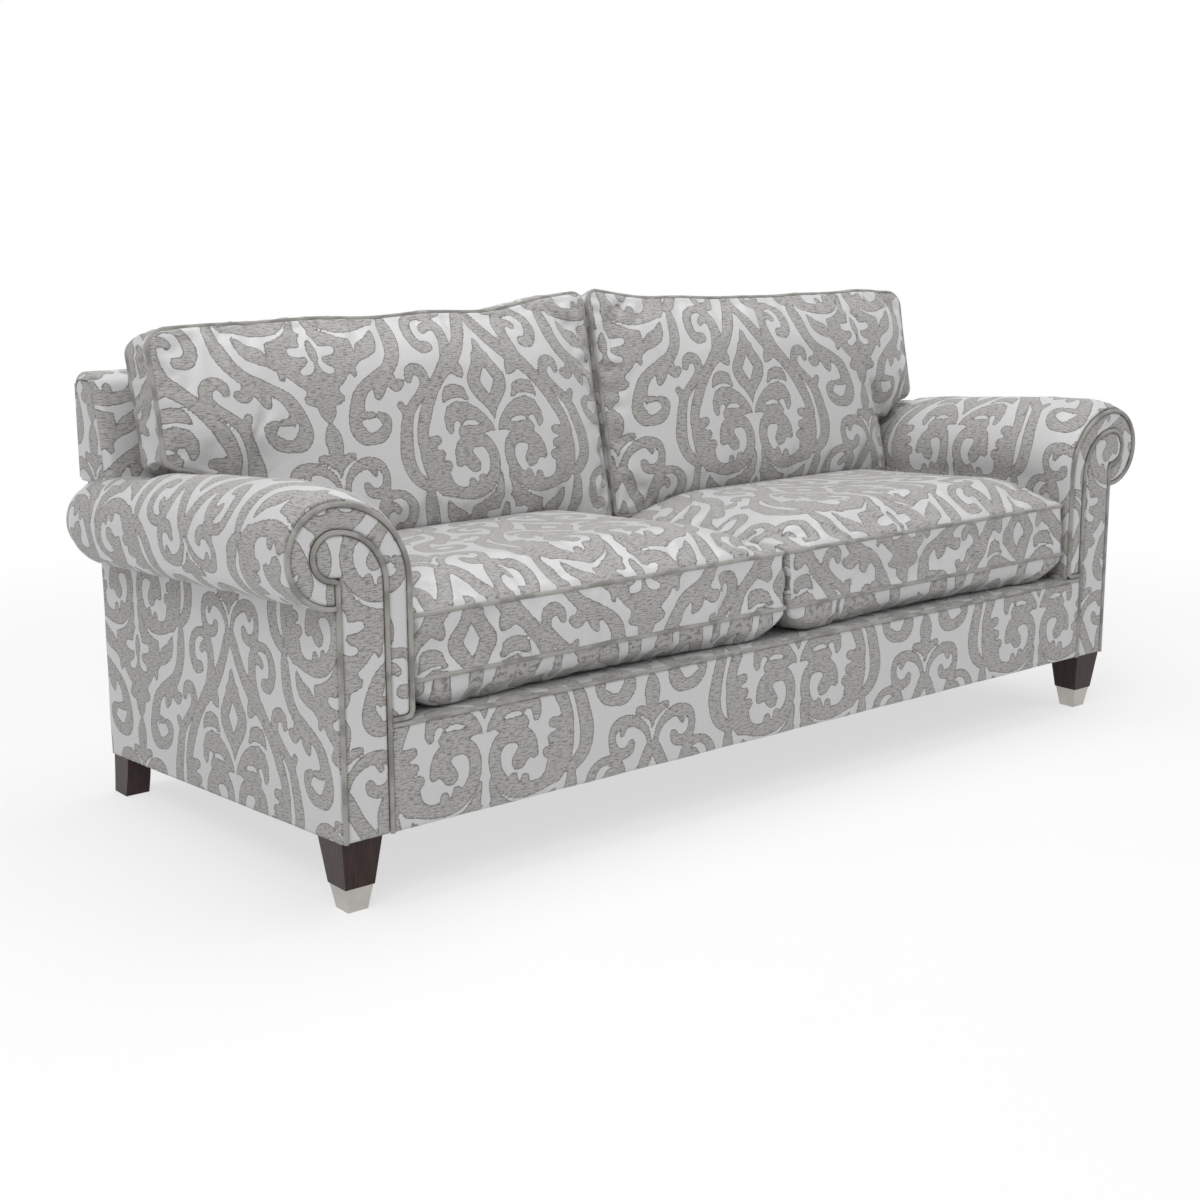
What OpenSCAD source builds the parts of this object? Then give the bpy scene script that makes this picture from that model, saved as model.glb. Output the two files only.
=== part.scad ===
// Roll-arm sofa with two loose seat cushions and two loose back cushions notched over the arms.
// X runs to the right as seen from the front, Y to the back and Z up, from the floor under the middle.
// Inside the modules, depth y counts from the upright plane of the two front facings.
// Left and right in the names are as seen from the front.

/* [Body] */
// Width between the outer faces of the two arms
body_w = 2080; // [1700:10:2500]
// Depth from the front facings to the outside back
body_d = 909; // [880:1:960]
// Height of the upholstery's lower edge above the floor, at the front
base_z = 134; // [120:1:150]
// Slope of the seat, the arms and the lower edge down to the back, in degrees
seat_pitch = 3.4; // [2.4:0.1:4]
// Height of the front rail's top
rail_z = 326; // [310:1:340]

/* [Arms] */
// Thickness of an arm from its inside face to its outer face
arm_t = 146; // [140:1:156]
// Radius of the roll
roll_r = 90; // [84:1:96]
// Height of the roll's centre, at the front
roll_z = 622; // [600:1:640]
// Width of the border around a facing
border_w = 50; // [46:1:52]
// Radius of the rounded foot of the outer arm cord
cord_turn_r = 14; // [12:1:18]

/* [Back] */
// Height of the back frame
back_z = 860; // [840:1:880]
// Rake of the inside back from upright, in degrees
back_rake = 12; // [10:0.5:13]
// Depth of the back frame near its top
back_top_d = 94; // [88:1:110]
// How far a back wing reaches out past the arm's outer face
wing_over = 35; // [30:1:45]
// Radius of the back's soft top edge
back_edge_r = 34; // [26:1:38]

/* [Seat cushions] */
// Set-back of a seat cushion's boxing behind the facings
seat_set = 10; // [6:1:20]
// Height of a seat cushion's boxing
seat_box = 113; // [100:1:120]
// Crown of a seat cushion above its top cord
seat_crown = 58; // [40:1:60]
// Belly of a seat cushion below its bottom cord
seat_belly = 58; // [50:1:66]
// How far the back cushion's lower edge lies above the seat's cord plane
back_rest = 33; // [31:1:40]

/* [Back cushions] */
// Thickness of a back cushion's boxing
back_box = 112; // [100:1:120]
// Height of a back cushion along the rake
back_h = 510; // [480:1:520]
// Sag of a back cushion's top edge, away from the middle of the sofa
back_sag = 34; // [10:1:40]
// Front crown of a back cushion
back_crown = 52; // [36:1:56]
// Rear crown of a back cushion, pressed flat by the back
back_rear_crown = 64; // [56:1:70]
// Rise of a back cushion's lower outer edge, where it leaves the arm
ear_rise = 8; // [6:1:14]
// Radius of a back cushion's rounded upper corners
back_corner_r = 44; // [30:1:50]

/* [Cushion making] */
// How far the piping stands out from a cushion's boxing
welt = 3; // [2:0.5:4]
// Thickness of the piping on a cushion
welt_t = 9; // [8:1:10]
// How far the middle of a cushion's side is drawn in
drawn_in = 5; // [3:1:8]
// Reach of the rounded shoulder from a cushion's edge to its full crown
shoulder = 190; // [170:5:210]
// Gap between neighbouring cushions, and between cushions and arms
cushion_gap = 4; // [4:0.5:8]
// Depth of wadding around a cushion's core, measured in from its cords
wrap = 46; // [40:1:52]

/* [Cloth and padding] */
// Thickness of the cover cloth with its lining
cover_t = 2; // [1.5:0.1:2.5]
// Thickness of the padding on the arms and the inside back
pad_t = 38; // [36:0.5:40]
// Thickness of the wadding on the outside faces
wad_t = 6; // [5:0.5:8]
// Thickness of a facing's padding and cover
facing_t = 12; // [11:0.5:14]
// Radius of the piping cord on the arms and the rail
cord_r = 4.5; // [4:0.1:5]
// Thickness of the padding under the deck cover
deck_pad_t = 18; // [14:1:20]
// Depth of the front rail's padded lip
lip_d = 70; // [64:1:80]

/* [Timber frame] */
// Thickness of the rails
rail_t = 32; // [28:1:34]
// Height of a side rail
side_rail_h = 108; // [90:1:112]
// Thickness of the facing boards and back posts
board_t = 18; // [16:1:20]
// Depth of the arm posts
post_d = 48; // [44:1:50]
// Leg length of a corner block's triangle
block_leg = 76; // [60:1:90]
// Height of a corner block
block_h = 70; // [50:1:80]
// Height of the rail under the springs' rear ends
spring_rail_h = 90; // [80:1:100]
// Height of the back top rail
top_rail_h = 50; // [40:1:60]

/* [Springing] */
// Number of seat springs
spring_n = 10; // [6:1:12]
// Number of bends along a spring
spring_waves = 7; // [5:1:9]
// Half width of a spring's zig-zag
spring_a = 22; // [18:1:24]
// Thickness of the spring wire
wire_t = 4; // [3.5:0.1:5]
// Width of a strap of back webbing
strap_w = 50; // [40:1:56]
// Number of straps across the back
strap_n = 5; // [3:1:6]

/* [Legs] */
// Side of a front leg's square top
leg_top = 80; // [74:1:84]
// Side of a front leg where the ferrule begins
leg_mid = 58; // [54:1:60]
// Side of a ferrule's square rim
ferrule_top = 54; // [50:0.5:54]
// Side of a ferrule's square sole
ferrule_foot = 39; // [36:1:42]
// Height of a ferrule
ferrule_h = 45; // [38:1:50]
// Wall of a ferrule
ferrule_wall = 1.5; // [1.2:0.1:2]
// Width of a rear leg
rear_w = 50; // [46:1:54]
// Depth of a rear leg at its top
rear_d = 64; // [58:1:68]
// Depth of a rear leg at the floor
rear_foot_d = 52; // [48:1:56]
// Diameter of a leg bolt
bolt_d = 8; // [6:0.5:10]
// Length of a leg bolt
bolt_l = 70; // [60:1:80]

/* [Fits] */
// Clearance between fitted pieces
fit = 0.3; // [0.25:0.05:0.5]

/* [Hidden] */

hw = body_w / 2;
inner = hw - arm_t;
joint_x = inner + border_w;
tan_p = tan(seat_pitch);
sin_p = sin(seat_pitch);
cos_p = cos(seat_pitch);
tan_r = tan(back_rake);
sin_r = sin(back_rake);
cos_r = cos(back_rake);

// How far the cords stand out of the facings, and the frame's middle in depth
proud = 2;
mid_y = (body_d - proud) / 2;

// Depths of the layers behind the facing
cord_y = cord_r - proud;
cord_d = 2 * cord_r;
behind_cord = cord_y + cord_r + fit;
board_y = facing_t + fit;
rail_y = board_y + board_t + fit;
rail_back_y = rail_y + rail_t;

// Faces of the frame behind the outside arm and the outside back
frame_x = hw - cover_t - wad_t - 2 * fit;
frame_back_y = body_d - cover_t - wad_t - 2 * fit;
arm_end_y = frame_back_y - fit - 3;

// Height lines that fall to the back with the seat's slope
roll_top = roll_z + roll_r;
shoulder_drop = arm_t - roll_r;
function sloped(z, y) = z - y * tan_p;
function back_y(z) = body_d - back_top_d - (back_z - z) * tan_r;

// Facets of the roll's, the shoulder's and the back edge's arcs
roll_steps = 24;
shoulder_steps = 17;
edge_steps = 8;

// How far cutting shapes pass what they cut, a height above every piece, and the lap inside one piece
over = 100;
clear_z = 1100;
lap = 0.01;

// Layers of the deck, from its top face down
hessian_t = 1.5;
spring_depth = cover_t + deck_pad_t + hessian_t + 3 * fit;
deck_stack = spring_depth + wire_t;
frame_layer = cover_t + pad_t + cover_t + 3 * fit;
post_foot = 12;
spring_rail_top = (rail_z - tan_p * (back_y(0) + frame_layer / cos_r + post_foot) - deck_stack - fit)
    / (1 + tan_p * tan_r);
deck_end_y = back_y(spring_rail_top) + frame_layer / cos_r - fit;
front_rail_top = sloped(rail_z, rail_back_y) - deck_stack - fit;
cloth_t = 1;
rail_lift = cloth_t + 1;
side_rail_top = base_z + rail_lift + side_rail_h;
top_rail_z = back_z - cover_t - pad_t - 2 * fit;
post_in = 30;
post_x = inner - post_in;
wing_x = hw + wing_over - cover_t - wad_t - 2 * fit;

// Lower edge of the arm's padding, square to the slope: it clears the rails it passes over
arm_low = (spring_rail_top + fit + tan_p * body_d) * cos_p;

// Seat cushion: its own frame starts at the front of its bottom cord and slopes with the deck
seat_z = sloped(rail_z, seat_set) + (fit + seat_belly) / cos_p;
seat_d = (back_y(0) + tan_r * seat_z - seat_set) / (cos_p + tan_r * sin_p) - welt - fit;
seat_x0 = cushion_gap / 2 + welt;
seat_x1 = inner - cushion_gap / 2 - welt;

// Back cushion: its own frame starts at the foot of its rear cord and leans with the back
cord_plane = seat_z + seat_box * cos_p + tan_p * (seat_set + seat_box * sin_p);
back_stack = (back_box + back_rear_crown + fit) / cos_r;
back_front_z = (cord_plane + back_rest - tan_p * (back_y(0) - back_stack)) / (1 + tan_p * tan_r);
back_front_y = back_y(back_front_z) - back_stack;
back_foot_y = back_front_y + back_box * cos_r;
back_foot_z = back_front_z - back_box * sin_r;
notch_v = (roll_top - tan_p * back_foot_y + welt + 1 - back_foot_z) / (cos_r + tan_p * sin_r);
ear_x = hw - cushion_gap;

// Height of the seat cushion's top that the back cushion leaves free, at depth v
lean = back_rake - seat_pitch;
press_c = (back_front_y - seat_set) * sin_r + (back_front_z - seat_z) * cos_r - welt - 2 * fit;
function press_limit(v) = (press_c - v * sin(lean)) / cos(lean) - seat_box;

// Points of an arc, and a list of points turned end for end
function arc(cx, cz, r, a0, a1, n) =
    [for (i = [0:n]) [cx + r * cos(a0 + (a1 - a0) * i / n), cz + r * sin(a0 + (a1 - a0) * i / n)]];
function turned(points) = [for (i = [len(points) - 1:-1:0]) points[i]];

// Arm outline, t inside the cloth: from under the roll, over the top and down the inside face
function arm_edge(t, low, zc) = concat(
    arc(hw, zc, roll_r - t, -90, 90, roll_steps),
    arc(hw, zc - shoulder_drop, arm_t - t, 95, 180, shoulder_steps),
    [[inner + t, low]]);

// Side outline of the inside back, t inside the cloth: up the rake and over the soft top edge
edge_z = back_z - back_edge_r;
edge_y = back_y(edge_z) + back_edge_r / cos_r;
function back_edge(t, low, end_y) = concat(
    [[back_y(low) + t / cos_r, low]],
    t < back_edge_r ? arc(edge_y, edge_z, back_edge_r - t, 180 - back_rake, 90, edge_steps)
        : [[back_y(back_z - t) + t / cos_r, back_z - t]],
    [[end_y, back_z - t]]);

// Slab between two X planes with a side outline of [depth, height] points
module slab(x0, x1, outline) {
    translate([x0, 0, 0])
        rotate([90, 0, 90])
            linear_extrude(x1 - x0)
                polygon(outline);
}

// Plate between two upright depth planes with a front outline of [x, height] points
module upright(y0, y1, outline) {
    translate([0, y1, 0])
        rotate([90, 0, 0])
            linear_extrude(y1 - y0)
                polygon(outline);
}

// Bar that follows the arm's slope between two upright depth planes, above height z0
module along_arm(y0, y1, outline, z0 = 0) {
    intersection() {
        rotate([-seat_pitch, 0, 0])
            translate([0, body_d + over, 0])
                rotate([90, 0, 0])
                    linear_extrude(body_d + 2 * over)
                        polygon(outline);
        translate([0, y0, z0])
            cube([hw + roll_r + over, y1 - y0, clear_z]);
    }
}

// Sloping band under the deck's top face, from depth d0 to d1 below it
module deck_band(x1, y0, y1, d0, d1) {
    slab(-x1, x1, [
        [y0, sloped(rail_z, y0) - d0], [y1, sloped(rail_z, y1) - d0],
        [y1, sloped(rail_z, y1) - d1], [y0, sloped(rail_z, y0) - d1]]);
}

// The part's own frame, and a piece made on the right that is wanted on the left
module part() { translate([0, -mid_y, 0]) children(); }
module left() { mirror([1, 0, 0]) children(); }
module both() {
    children();
    left() children();
}

module timber() { color("burlywood") part() children(); }
module padding() { color("ivory") part() children(); }
module cloth() { color("lightsteelblue") part() children(); }
module piping() { color("darkgray") part() children(); }

// Axes of the legs' bolts: through the front rail, and through the side rail's rear end
leg_in = 10;
bolt_edge = 12;
leg_spot = [hw - leg_top / 2, leg_in + leg_top / 2];
bolt_spots = [leg_spot, [frame_x - rail_t / 2, frame_back_y - rail_t - bolt_edge]];
module bolt_holes() {
    for (p = bolt_spots)
        translate([p[0], p[1], sloped(base_z, p[1]) - bolt_l / 2 - fit])
            cylinder(r = bolt_d / 2 + fit, h = bolt_l + 2 * fit, $fn = 48);
}
module rail_slab(x0, x1, y0, y1, top0, top1) {
    difference() {
        slab(x0, x1, [
            [y0, sloped(base_z, y0) + rail_lift], [y1, sloped(base_z, y1) + rail_lift], [y1, top1], [y0, top0]]);
        both() bolt_holes();
        both() screw_holes();
    }
}

// Screws that hold the facing boards to the front rail
screw_r = 2.5;
screw_l = 42;
head_r = 5;
head_h = 3;
screw_in = 36;
screw_rise = 50;
screw_pitch = 70;
screw_spots = [for (i = [0, 1]) [hw - screw_in, base_z + screw_rise + screw_pitch * i]];
module screw_holes() {
    for (p = screw_spots)
        translate([p[0], board_y - 1, p[1]])
            rotate([-90, 0, 0]) {
                cylinder(r = screw_r + fit, h = screw_l + 1 + 2 * fit, $fn = 32);
                cylinder(r = head_r + fit, h = head_h + 1 + 2 * fit, $fn = 32);
            }
}
module facing_screws() {
    color("dimgray") part() both()
        for (p = screw_spots)
            translate([p[0], board_y + fit, p[1]])
                rotate([-90, 0, 0]) {
                    cylinder(r = screw_r, h = screw_l, $fn = 32);
                    cylinder(r = head_r, h = head_h, $fn = 32);
                }
}

// Timber frame
module front_rail() {
    timber() rail_slab(-frame_x, frame_x, rail_y, rail_back_y, front_rail_top, front_rail_top);
}
module rear_rail() {
    timber() rail_slab(-frame_x, frame_x, frame_back_y - rail_t, frame_back_y, spring_rail_top, spring_rail_top);
}
module spring_rail() {
    spring_y = deck_end_y + post_foot;
    side_x = frame_x - rail_t - fit;
    low = spring_rail_top - spring_rail_h;
    timber() slab(-side_x, side_x, [
        [spring_y - rail_t, low], [spring_y, low],
        [spring_y, spring_rail_top], [spring_y - rail_t, spring_rail_top]]);
}
module side_rail() {
    y0 = rail_back_y + fit;
    y1 = frame_back_y - rail_t - fit;
    rail_slab(frame_x - rail_t, frame_x, y0, y1, sloped(side_rail_top, y0), sloped(side_rail_top, y1));
}
module side_rail_right() { timber() side_rail(); }
module side_rail_left() { timber() left() side_rail(); }
module centre_stretcher() {
    y0 = rail_back_y + fit;
    y1 = deck_end_y + post_foot - rail_t - fit;
    timber() slab(-rail_t / 2, rail_t / 2, [
        [y0, sloped(base_z, y0) + rail_lift], [y1, sloped(base_z, y1) + rail_lift],
        [y1, sloped(side_rail_top, y1)], [y0, sloped(side_rail_top, y0)]]);
}
block_lift = 12;
module corner_block(y, turn) {
    x = frame_x - rail_t - fit;
    translate([x, y, sloped(base_z, y) + rail_lift + block_lift])
        linear_extrude(block_h)
            polygon([[0, 0], [-block_leg, 0], [0, turn * block_leg]]);
}
module corner_blocks() {
    timber() both() {
        corner_block(rail_back_y + fit, 1);
        corner_block(frame_back_y - rail_t - fit, -1);
    }
}

// Front outline of an arm post, below the scroll rail
lining_x = inner + cover_t + pad_t + 2 * fit;
post_x0 = lining_x + cover_t + fit;
scroll_r = roll_r - cover_t - pad_t - 2 * fit;
module arm_post(y0, low) {
    zc = roll_z * cos_p;
    // Half the arm's inner radius keeps the sloping top inside the padding
    half = (arm_t - frame_layer) / 2;
    difference() {
        along_arm(y0, y0 + post_d, [
            [post_x0, 0], [post_x0, zc - shoulder_drop], [hw - half, zc - shoulder_drop + half],
            [hw - half / 2, zc], [frame_x, zc - half / 2], [frame_x, 0]], low);
        scroll_bar(scroll_r + fit, y0 - over, y0 + post_d + over);
    }
}
module scroll_bar(r, y0, y1) {
    intersection() {
        rotate([-seat_pitch, 0, 0])
            translate([hw, -over, roll_z * cos_p])
                rotate([-90, 0, 0])
                    cylinder(r = r, h = body_d + 2 * over, $fn = 96);
        translate([0, y0, 0])
            cube([2 * hw, y1 - y0, clear_z]);
    }
}
module arm_post_right() { timber() arm_post(rail_y, front_rail_top + fit); }
module arm_post_left() { timber() left() arm_post(rail_y, front_rail_top + fit); }
module rear_arm_post() {
    y1 = frame_back_y - rail_t - fit;
    difference() {
        arm_post(y1 - post_d, 0);
        slab(0, hw + over, [
            [0, 0], [body_d, 0], [body_d, sloped(side_rail_top, body_d) + fit], [0, side_rail_top + fit]]);
    }
}
module rear_arm_posts() { timber() both() rear_arm_post(); }
module scroll_rails() { timber() both() scroll_bar(scroll_r, rail_y, arm_end_y); }
module facing_board() {
    t = cover_t + fit;
    step_x = joint_x + cord_r + fit;
    step_z = rail_z + t;
    low = (base_z + rail_lift) * cos_p;
    difference() {
        along_arm(board_y, board_y + board_t, concat(
            [[hw - t, low], [hw - t, (roll_z - roll_r) * cos_p + t]],
            arm_edge(t, step_z, roll_z * cos_p),
            [[step_x, step_z], [step_x, low]]));
        screw_holes();
    }
}
module facing_board_right() { timber() facing_board(); }
module facing_board_left() { timber() left() facing_board(); }

// Back frame: raked panels that stand on the spring rail and the rear rail
post_top = top_rail_z - top_rail_h - fit;
function raked(z) = [back_y(z) + frame_layer / cos_r, z];
module back_post(x) {
    foot = spring_rail_top + fit;
    timber() slab(x, x + board_t, [raked(foot), raked(post_top), [frame_back_y, post_top], [frame_back_y, foot]]);
}
module back_post_left() { back_post(-post_x); }
module back_post_middle() { back_post(-board_t / 2); }
module back_post_right() { back_post(post_x - board_t); }
module back_top_rail() {
    low = top_rail_z - top_rail_h;
    timber() slab(-wing_x, wing_x, [raked(low), raked(top_rail_z), [frame_back_y, top_rail_z], [frame_back_y, low]]);
}
module back_wings() {
    low = roll_top + fit;
    y0 = raked(sloped(low, frame_back_y))[0];
    timber() both() slab(wing_x - board_t, wing_x, [
        [y0, sloped(low, y0)], raked(post_top), [frame_back_y, post_top], [frame_back_y, sloped(low, frame_back_y)]]);
}
module arm_lining() {
    top = (roll_z - shoulder_drop) * cos_p;
    along_arm(rail_y, arm_end_y, [
        [lining_x, arm_low], [lining_x, top], [lining_x + cover_t, top], [lining_x + cover_t, arm_low]]);
}
module arm_linings() { timber() both() arm_lining(); }

// Springing
clip_w = 10;
clip_d = 5;
clip_y = rail_y + 1;
module seat_spring(x) {
    y0 = clip_y + clip_d + fit;
    length = (deck_end_y - y0) / cos_p - fit;
    bend = 8;
    steps = bend * spring_waves;
    half = wire_t / 2;
    side = [for (i = [0:steps]) [spring_a * sin(360 * i / bend), length * i / steps]];
    translate([x, y0, sloped(rail_z, y0) - deck_stack])
        rotate([-seat_pitch, 0, 0])
            linear_extrude(wire_t)
                polygon(concat(
                    [for (p = side) [p[0] - half, p[1]]],
                    [for (p = turned(side)) [p[0] + half, p[1]]]));
}
spring_pitch = 2 * inner / spring_n;
module seat_springs() {
    color("slategray") part()
        for (i = [0:spring_n - 1])
            seat_spring(-inner + spring_pitch * (i + 0.5));
}
module spring_clips() {
    color("silver") part()
        for (i = [0:spring_n - 1])
            translate([-inner + spring_pitch * (i + 0.5) - clip_w / 2, clip_y, front_rail_top + fit])
                cube([clip_w, clip_d, wire_t]);
}
module seat_hessian() {
    d0 = cover_t + deck_pad_t + 2 * fit;
    color("tan") part() deck_band(inner - fit, rail_y, deck_end_y, d0, d0 + hessian_t);
}
strap_first = 60;
strap_last = 20;
module back_webbing() {
    t0 = (cover_t + pad_t + 2 * fit) / cos_r;
    t1 = t0 + cover_t / cos_r;
    first = spring_rail_top + strap_first;
    step = (post_top - strap_w - strap_last - first) / max(strap_n - 1, 1);
    color("tan") part()
        for (i = [0:strap_n - 1])
            let (z = first + step * i, w = strap_w)
                slab(-post_x, post_x, [
                    [back_y(z) + t0, z], [back_y(z + w) + t0, z + w],
                    [back_y(z + w) + t1, z + w], [back_y(z) + t1, z]]);
}

// Padding
module arm_pad() {
    t = cover_t + fit;
    zc = roll_z * cos_p;
    along_arm(rail_y, arm_end_y,
        concat(arm_edge(t, arm_low, zc), turned(arm_edge(t + pad_t, arm_low, zc))));
}
module arm_pad_right() { padding() arm_pad(); }
module arm_pad_left() { padding() left() arm_pad(); }
module outside_sheet(x, thick, y0, y1, lift) {
    top = (roll_z - roll_r) * cos_p - fit;
    low = (base_z + lift) * cos_p;
    along_arm(y0, y1, [[x, low], [x, top], [x + thick, top], [x + thick, low]]);
}
module outside_arm_wadding() {
    padding() both() outside_sheet(hw - cover_t - fit - wad_t, wad_t, rail_y, frame_back_y, rail_lift);
}
module deck_pad() {
    padding() deck_band(inner - fit, lip_d, deck_end_y, cover_t + fit, cover_t + fit + deck_pad_t);
}
module front_rail_pad() {
    t = cover_t + fit;
    corner = cord_d + t + fit;
    x1 = joint_x - cord_r - fit;
    back = rail_y - fit;
    low = t + deck_pad_t;
    padding() {
        slab(-x1, x1, [
            [t, base_z + rail_lift], [t, rail_z - corner], [behind_cord + t, rail_z - corner],
            [behind_cord + t, sloped(rail_z, behind_cord) - t], [back, sloped(rail_z, back) - t],
            [back, base_z + rail_lift]]);
        slab(-inner + fit, inner - fit, [
            [back - lap, sloped(rail_z, back) - t], [lip_d - fit, sloped(rail_z, lip_d) - t],
            [lip_d - fit, sloped(rail_z, lip_d) - low], [back - lap, sloped(rail_z, back) - low]]);
    }
}
module arm_space(grow) {
    zc = roll_z * cos_p;
    both() along_arm(0, body_d + 1, concat(arm_edge(-grow, arm_low, zc), [[hw + grow, arm_low]]));
}
module above_line(x0, x1, z) {
    intersection() {
        children();
        slab(x0, x1, [[0, z], [body_d, sloped(z, body_d)], [body_d, clear_z], [0, clear_z]]);
    }
}
// Layer of the inside back: between the arms, above their shoulders and out to the wings
module back_layer(t0, t1, end_y, x1) {
    low = sloped(rail_z, back_y(rail_z)) + 2 * tan_p * frame_layer;
    outline = concat(back_edge(t0, low, end_y), turned(back_edge(t1, low, end_y)));
    slab(-inner + fit, inner - fit, outline);
    difference() {
        both() {
            above_line(inner - fit, hw, roll_z - shoulder_drop) slab(inner - fit, hw, outline);
            above_line(hw, x1, roll_z + roll_r / 2) slab(hw, x1, outline);
        }
        arm_space(fit);
    }
}
// End of a wing: the back's side outline above the arm
module wing_end(x0, x1, t, end_y) {
    outline = concat(back_edge(t, roll_z - roll_r, end_y), [[end_y, roll_z - roll_r]]);
    difference() {
        both() above_line(x0, x1, roll_z + roll_r / 2) slab(x0, x1, outline);
        arm_space(fit);
    }
}
module back_pad() {
    t = cover_t + fit;
    end_y = body_d - t;
    x1 = hw + wing_over - t;
    padding() {
        back_layer(t, t + pad_t, frame_back_y, x1);
        wing_end(x1 - wad_t + fit, x1, t, frame_back_y);
    }
}
module outside_back_wadding() {
    y1 = body_d - cover_t - fit;
    low = sloped(base_z, y1) + rail_lift;
    padding() slab(-hw + cover_t + fit, hw - cover_t - fit, [
        [y1 - wad_t, low], [y1 - wad_t, back_z - cover_t - fit], [y1, back_z - cover_t - fit], [y1, low]]);
}

// Fixed covers
module arm_cover() {
    zc = roll_z * cos_p;
    difference() {
        along_arm(behind_cord, arm_end_y,
            concat(arm_edge(0, arm_low, zc), turned(arm_edge(cover_t, arm_low, zc))));
        // The front rail's cover and padding pass below its front end
        translate([inner - over, 0, 0])
            cube([joint_x - inner + over, rail_y, rail_z + fit]);
    }
}
module arm_cover_right() { cloth() arm_cover(); }
module arm_cover_left() { cloth() left() arm_cover(); }
module outside_arm() {
    outside_sheet(hw - cover_t, cover_t, behind_cord, body_d - cover_t - fit, 0);
}
module outside_arm_right() { cloth() outside_arm(); }
module outside_arm_left() { cloth() left() outside_arm(); }
module roll_caps() {
    cloth() both() along_arm(arm_end_y + fit, body_d, arc(hw, roll_z * cos_p, roll_r, -90, 90, roll_steps));
}

// Centre of the rounded foot of an outer arm cord, which stands on the front rail
foot_x = inner + cord_r + cord_turn_r;
foot_z = rail_z + cord_r + fit + cord_turn_r;

// Front facing: a raised panel that follows the scroll, inside a border
panel_t = border_w + cord_r + fit;
module facing_panel() {
    x1 = hw - cord_d - 2 * fit;
    z1 = roll_z - roll_r + panel_t;
    upright(-proud, facing_t, concat(
        [[x1, base_z], [x1, z1]],
        arm_edge(panel_t, base_z, roll_z)));
}
module facing_panel_right() { cloth() facing_panel(); }
module facing_panel_left() { cloth() left() facing_panel(); }
module facing_border() {
    low = rail_z + cord_d + 2 * fit;
    outer = arm_edge(cord_d + fit, foot_z, roll_z);
    foot = arc(foot_x, foot_z, cord_turn_r - cord_r - fit, 180, 270, edge_steps);
    upright(0, facing_t, concat(outer, foot, turned(arm_edge(border_w - cord_r - fit, low, roll_z))));
}
module facing_border_right() { cloth() facing_border(); }
module facing_border_left() { cloth() left() facing_border(); }
module front_rail_cover() {
    x1 = joint_x - cord_r - fit;
    notch = cord_d + fit;
    t = cover_t;
    b = behind_cord;
    cloth() {
        slab(-x1, x1, [
            [0, base_z], [0, rail_z - notch], [b, rail_z - notch], [b, sloped(rail_z, b)],
            [board_y, sloped(rail_z, board_y)], [board_y, sloped(rail_z, board_y) - t],
            [b + t, sloped(rail_z, b) - t], [b + t, rail_z - notch - t], [t, rail_z - notch - t], [t, base_z]]);
        slab(-inner + fit, inner - fit, [
            [board_y - lap, sloped(rail_z, board_y)], [lip_d, sloped(rail_z, lip_d)],
            [lip_d, sloped(rail_z, lip_d) - t], [board_y - lap, sloped(rail_z, board_y) - t]]);
    }
}
module deck_cover() {
    cloth() deck_band(inner - fit, lip_d + fit, deck_end_y, 0, cover_t);
}
module inside_back_cover() {
    x1 = hw + wing_over;
    cloth() {
        back_layer(0, cover_t, body_d - cover_t - fit, x1);
        wing_end(x1 - cover_t, x1, 0, body_d - cover_t - fit);
    }
}
module outside_back_cover() {
    low = sloped(base_z, body_d);
    y0 = body_d - cover_t;
    cloth() {
        slab(-hw, hw, [[y0, low], [y0, back_z], [body_d, back_z], [body_d, low]]);
        difference() {
            both() above_line(hw, hw + wing_over, roll_z + roll_r / 2)
                slab(hw, hw + wing_over, [[y0, low], [y0, back_z], [body_d, back_z], [body_d, low]]);
            arm_space(fit);
        }
    }
}
module dust_cloth() {
    y0 = board_y;
    y1 = frame_back_y;
    lift = rail_lift - fit - cloth_t;
    color("black") part() difference() {
        slab(-frame_x, frame_x, [
            [y0, sloped(base_z, y0) + lift], [y1, sloped(base_z, y1) + lift],
            [y1, sloped(base_z, y1) + lift + cloth_t], [y0, sloped(base_z, y0) + lift + cloth_t]]);
        both() bolt_holes();
    }
}

// Piping on the arms and the rail
module cord_arc(cx, cz, r, a0, a1) {
    translate([cx, cord_y, cz])
        rotate([90, 0, 0])
            rotate([0, 0, a0])
                rotate_extrude(angle = a1 - a0, $fn = 96)
                    translate([r, 0])
                        circle(cord_r, $fn = 32);
}
module cord_up(x, z0, z1) {
    translate([x, cord_y, z0])
        cylinder(r = cord_r, h = z1 - z0, $fn = 32);
}
module cord_across(x0, x1, z) {
    translate([x0, cord_y, z])
        rotate([0, 90, 0])
            cylinder(r = cord_r, h = x1 - x0, $fn = 32);
}
module outer_cords() {
    piping() both() {
        cord_arc(hw, roll_z, roll_r - cord_r, -90, 90);
        cord_arc(hw, roll_z - shoulder_drop, arm_t - cord_r, 90, 180);
        cord_up(inner + cord_r, foot_z, roll_z - shoulder_drop);
        cord_arc(foot_x, foot_z, cord_turn_r, 180, 270);
        cord_across(foot_x, joint_x - cord_r - fit, foot_z - cord_turn_r);
    }
}
module inner_cords() {
    turn_z = roll_z - roll_r + border_w;
    side_x = hw - cord_r - fit;
    piping() both() {
        cord_up(side_x, base_z, turn_z);
        translate([side_x, cord_y, turn_z])
            sphere(cord_r, $fn = 32);
        cord_across(side_x, hw, turn_z);
        cord_arc(hw, roll_z, roll_r - border_w, -90, 90);
        cord_arc(hw, roll_z - shoulder_drop, arm_t - border_w, 90, 180);
        cord_up(joint_x, base_z, roll_z - shoulder_drop);
    }
}
module rail_cord() {
    x1 = joint_x - cord_r - fit;
    piping() cord_across(-x1, x1, rail_z - cord_r);
}

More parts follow.
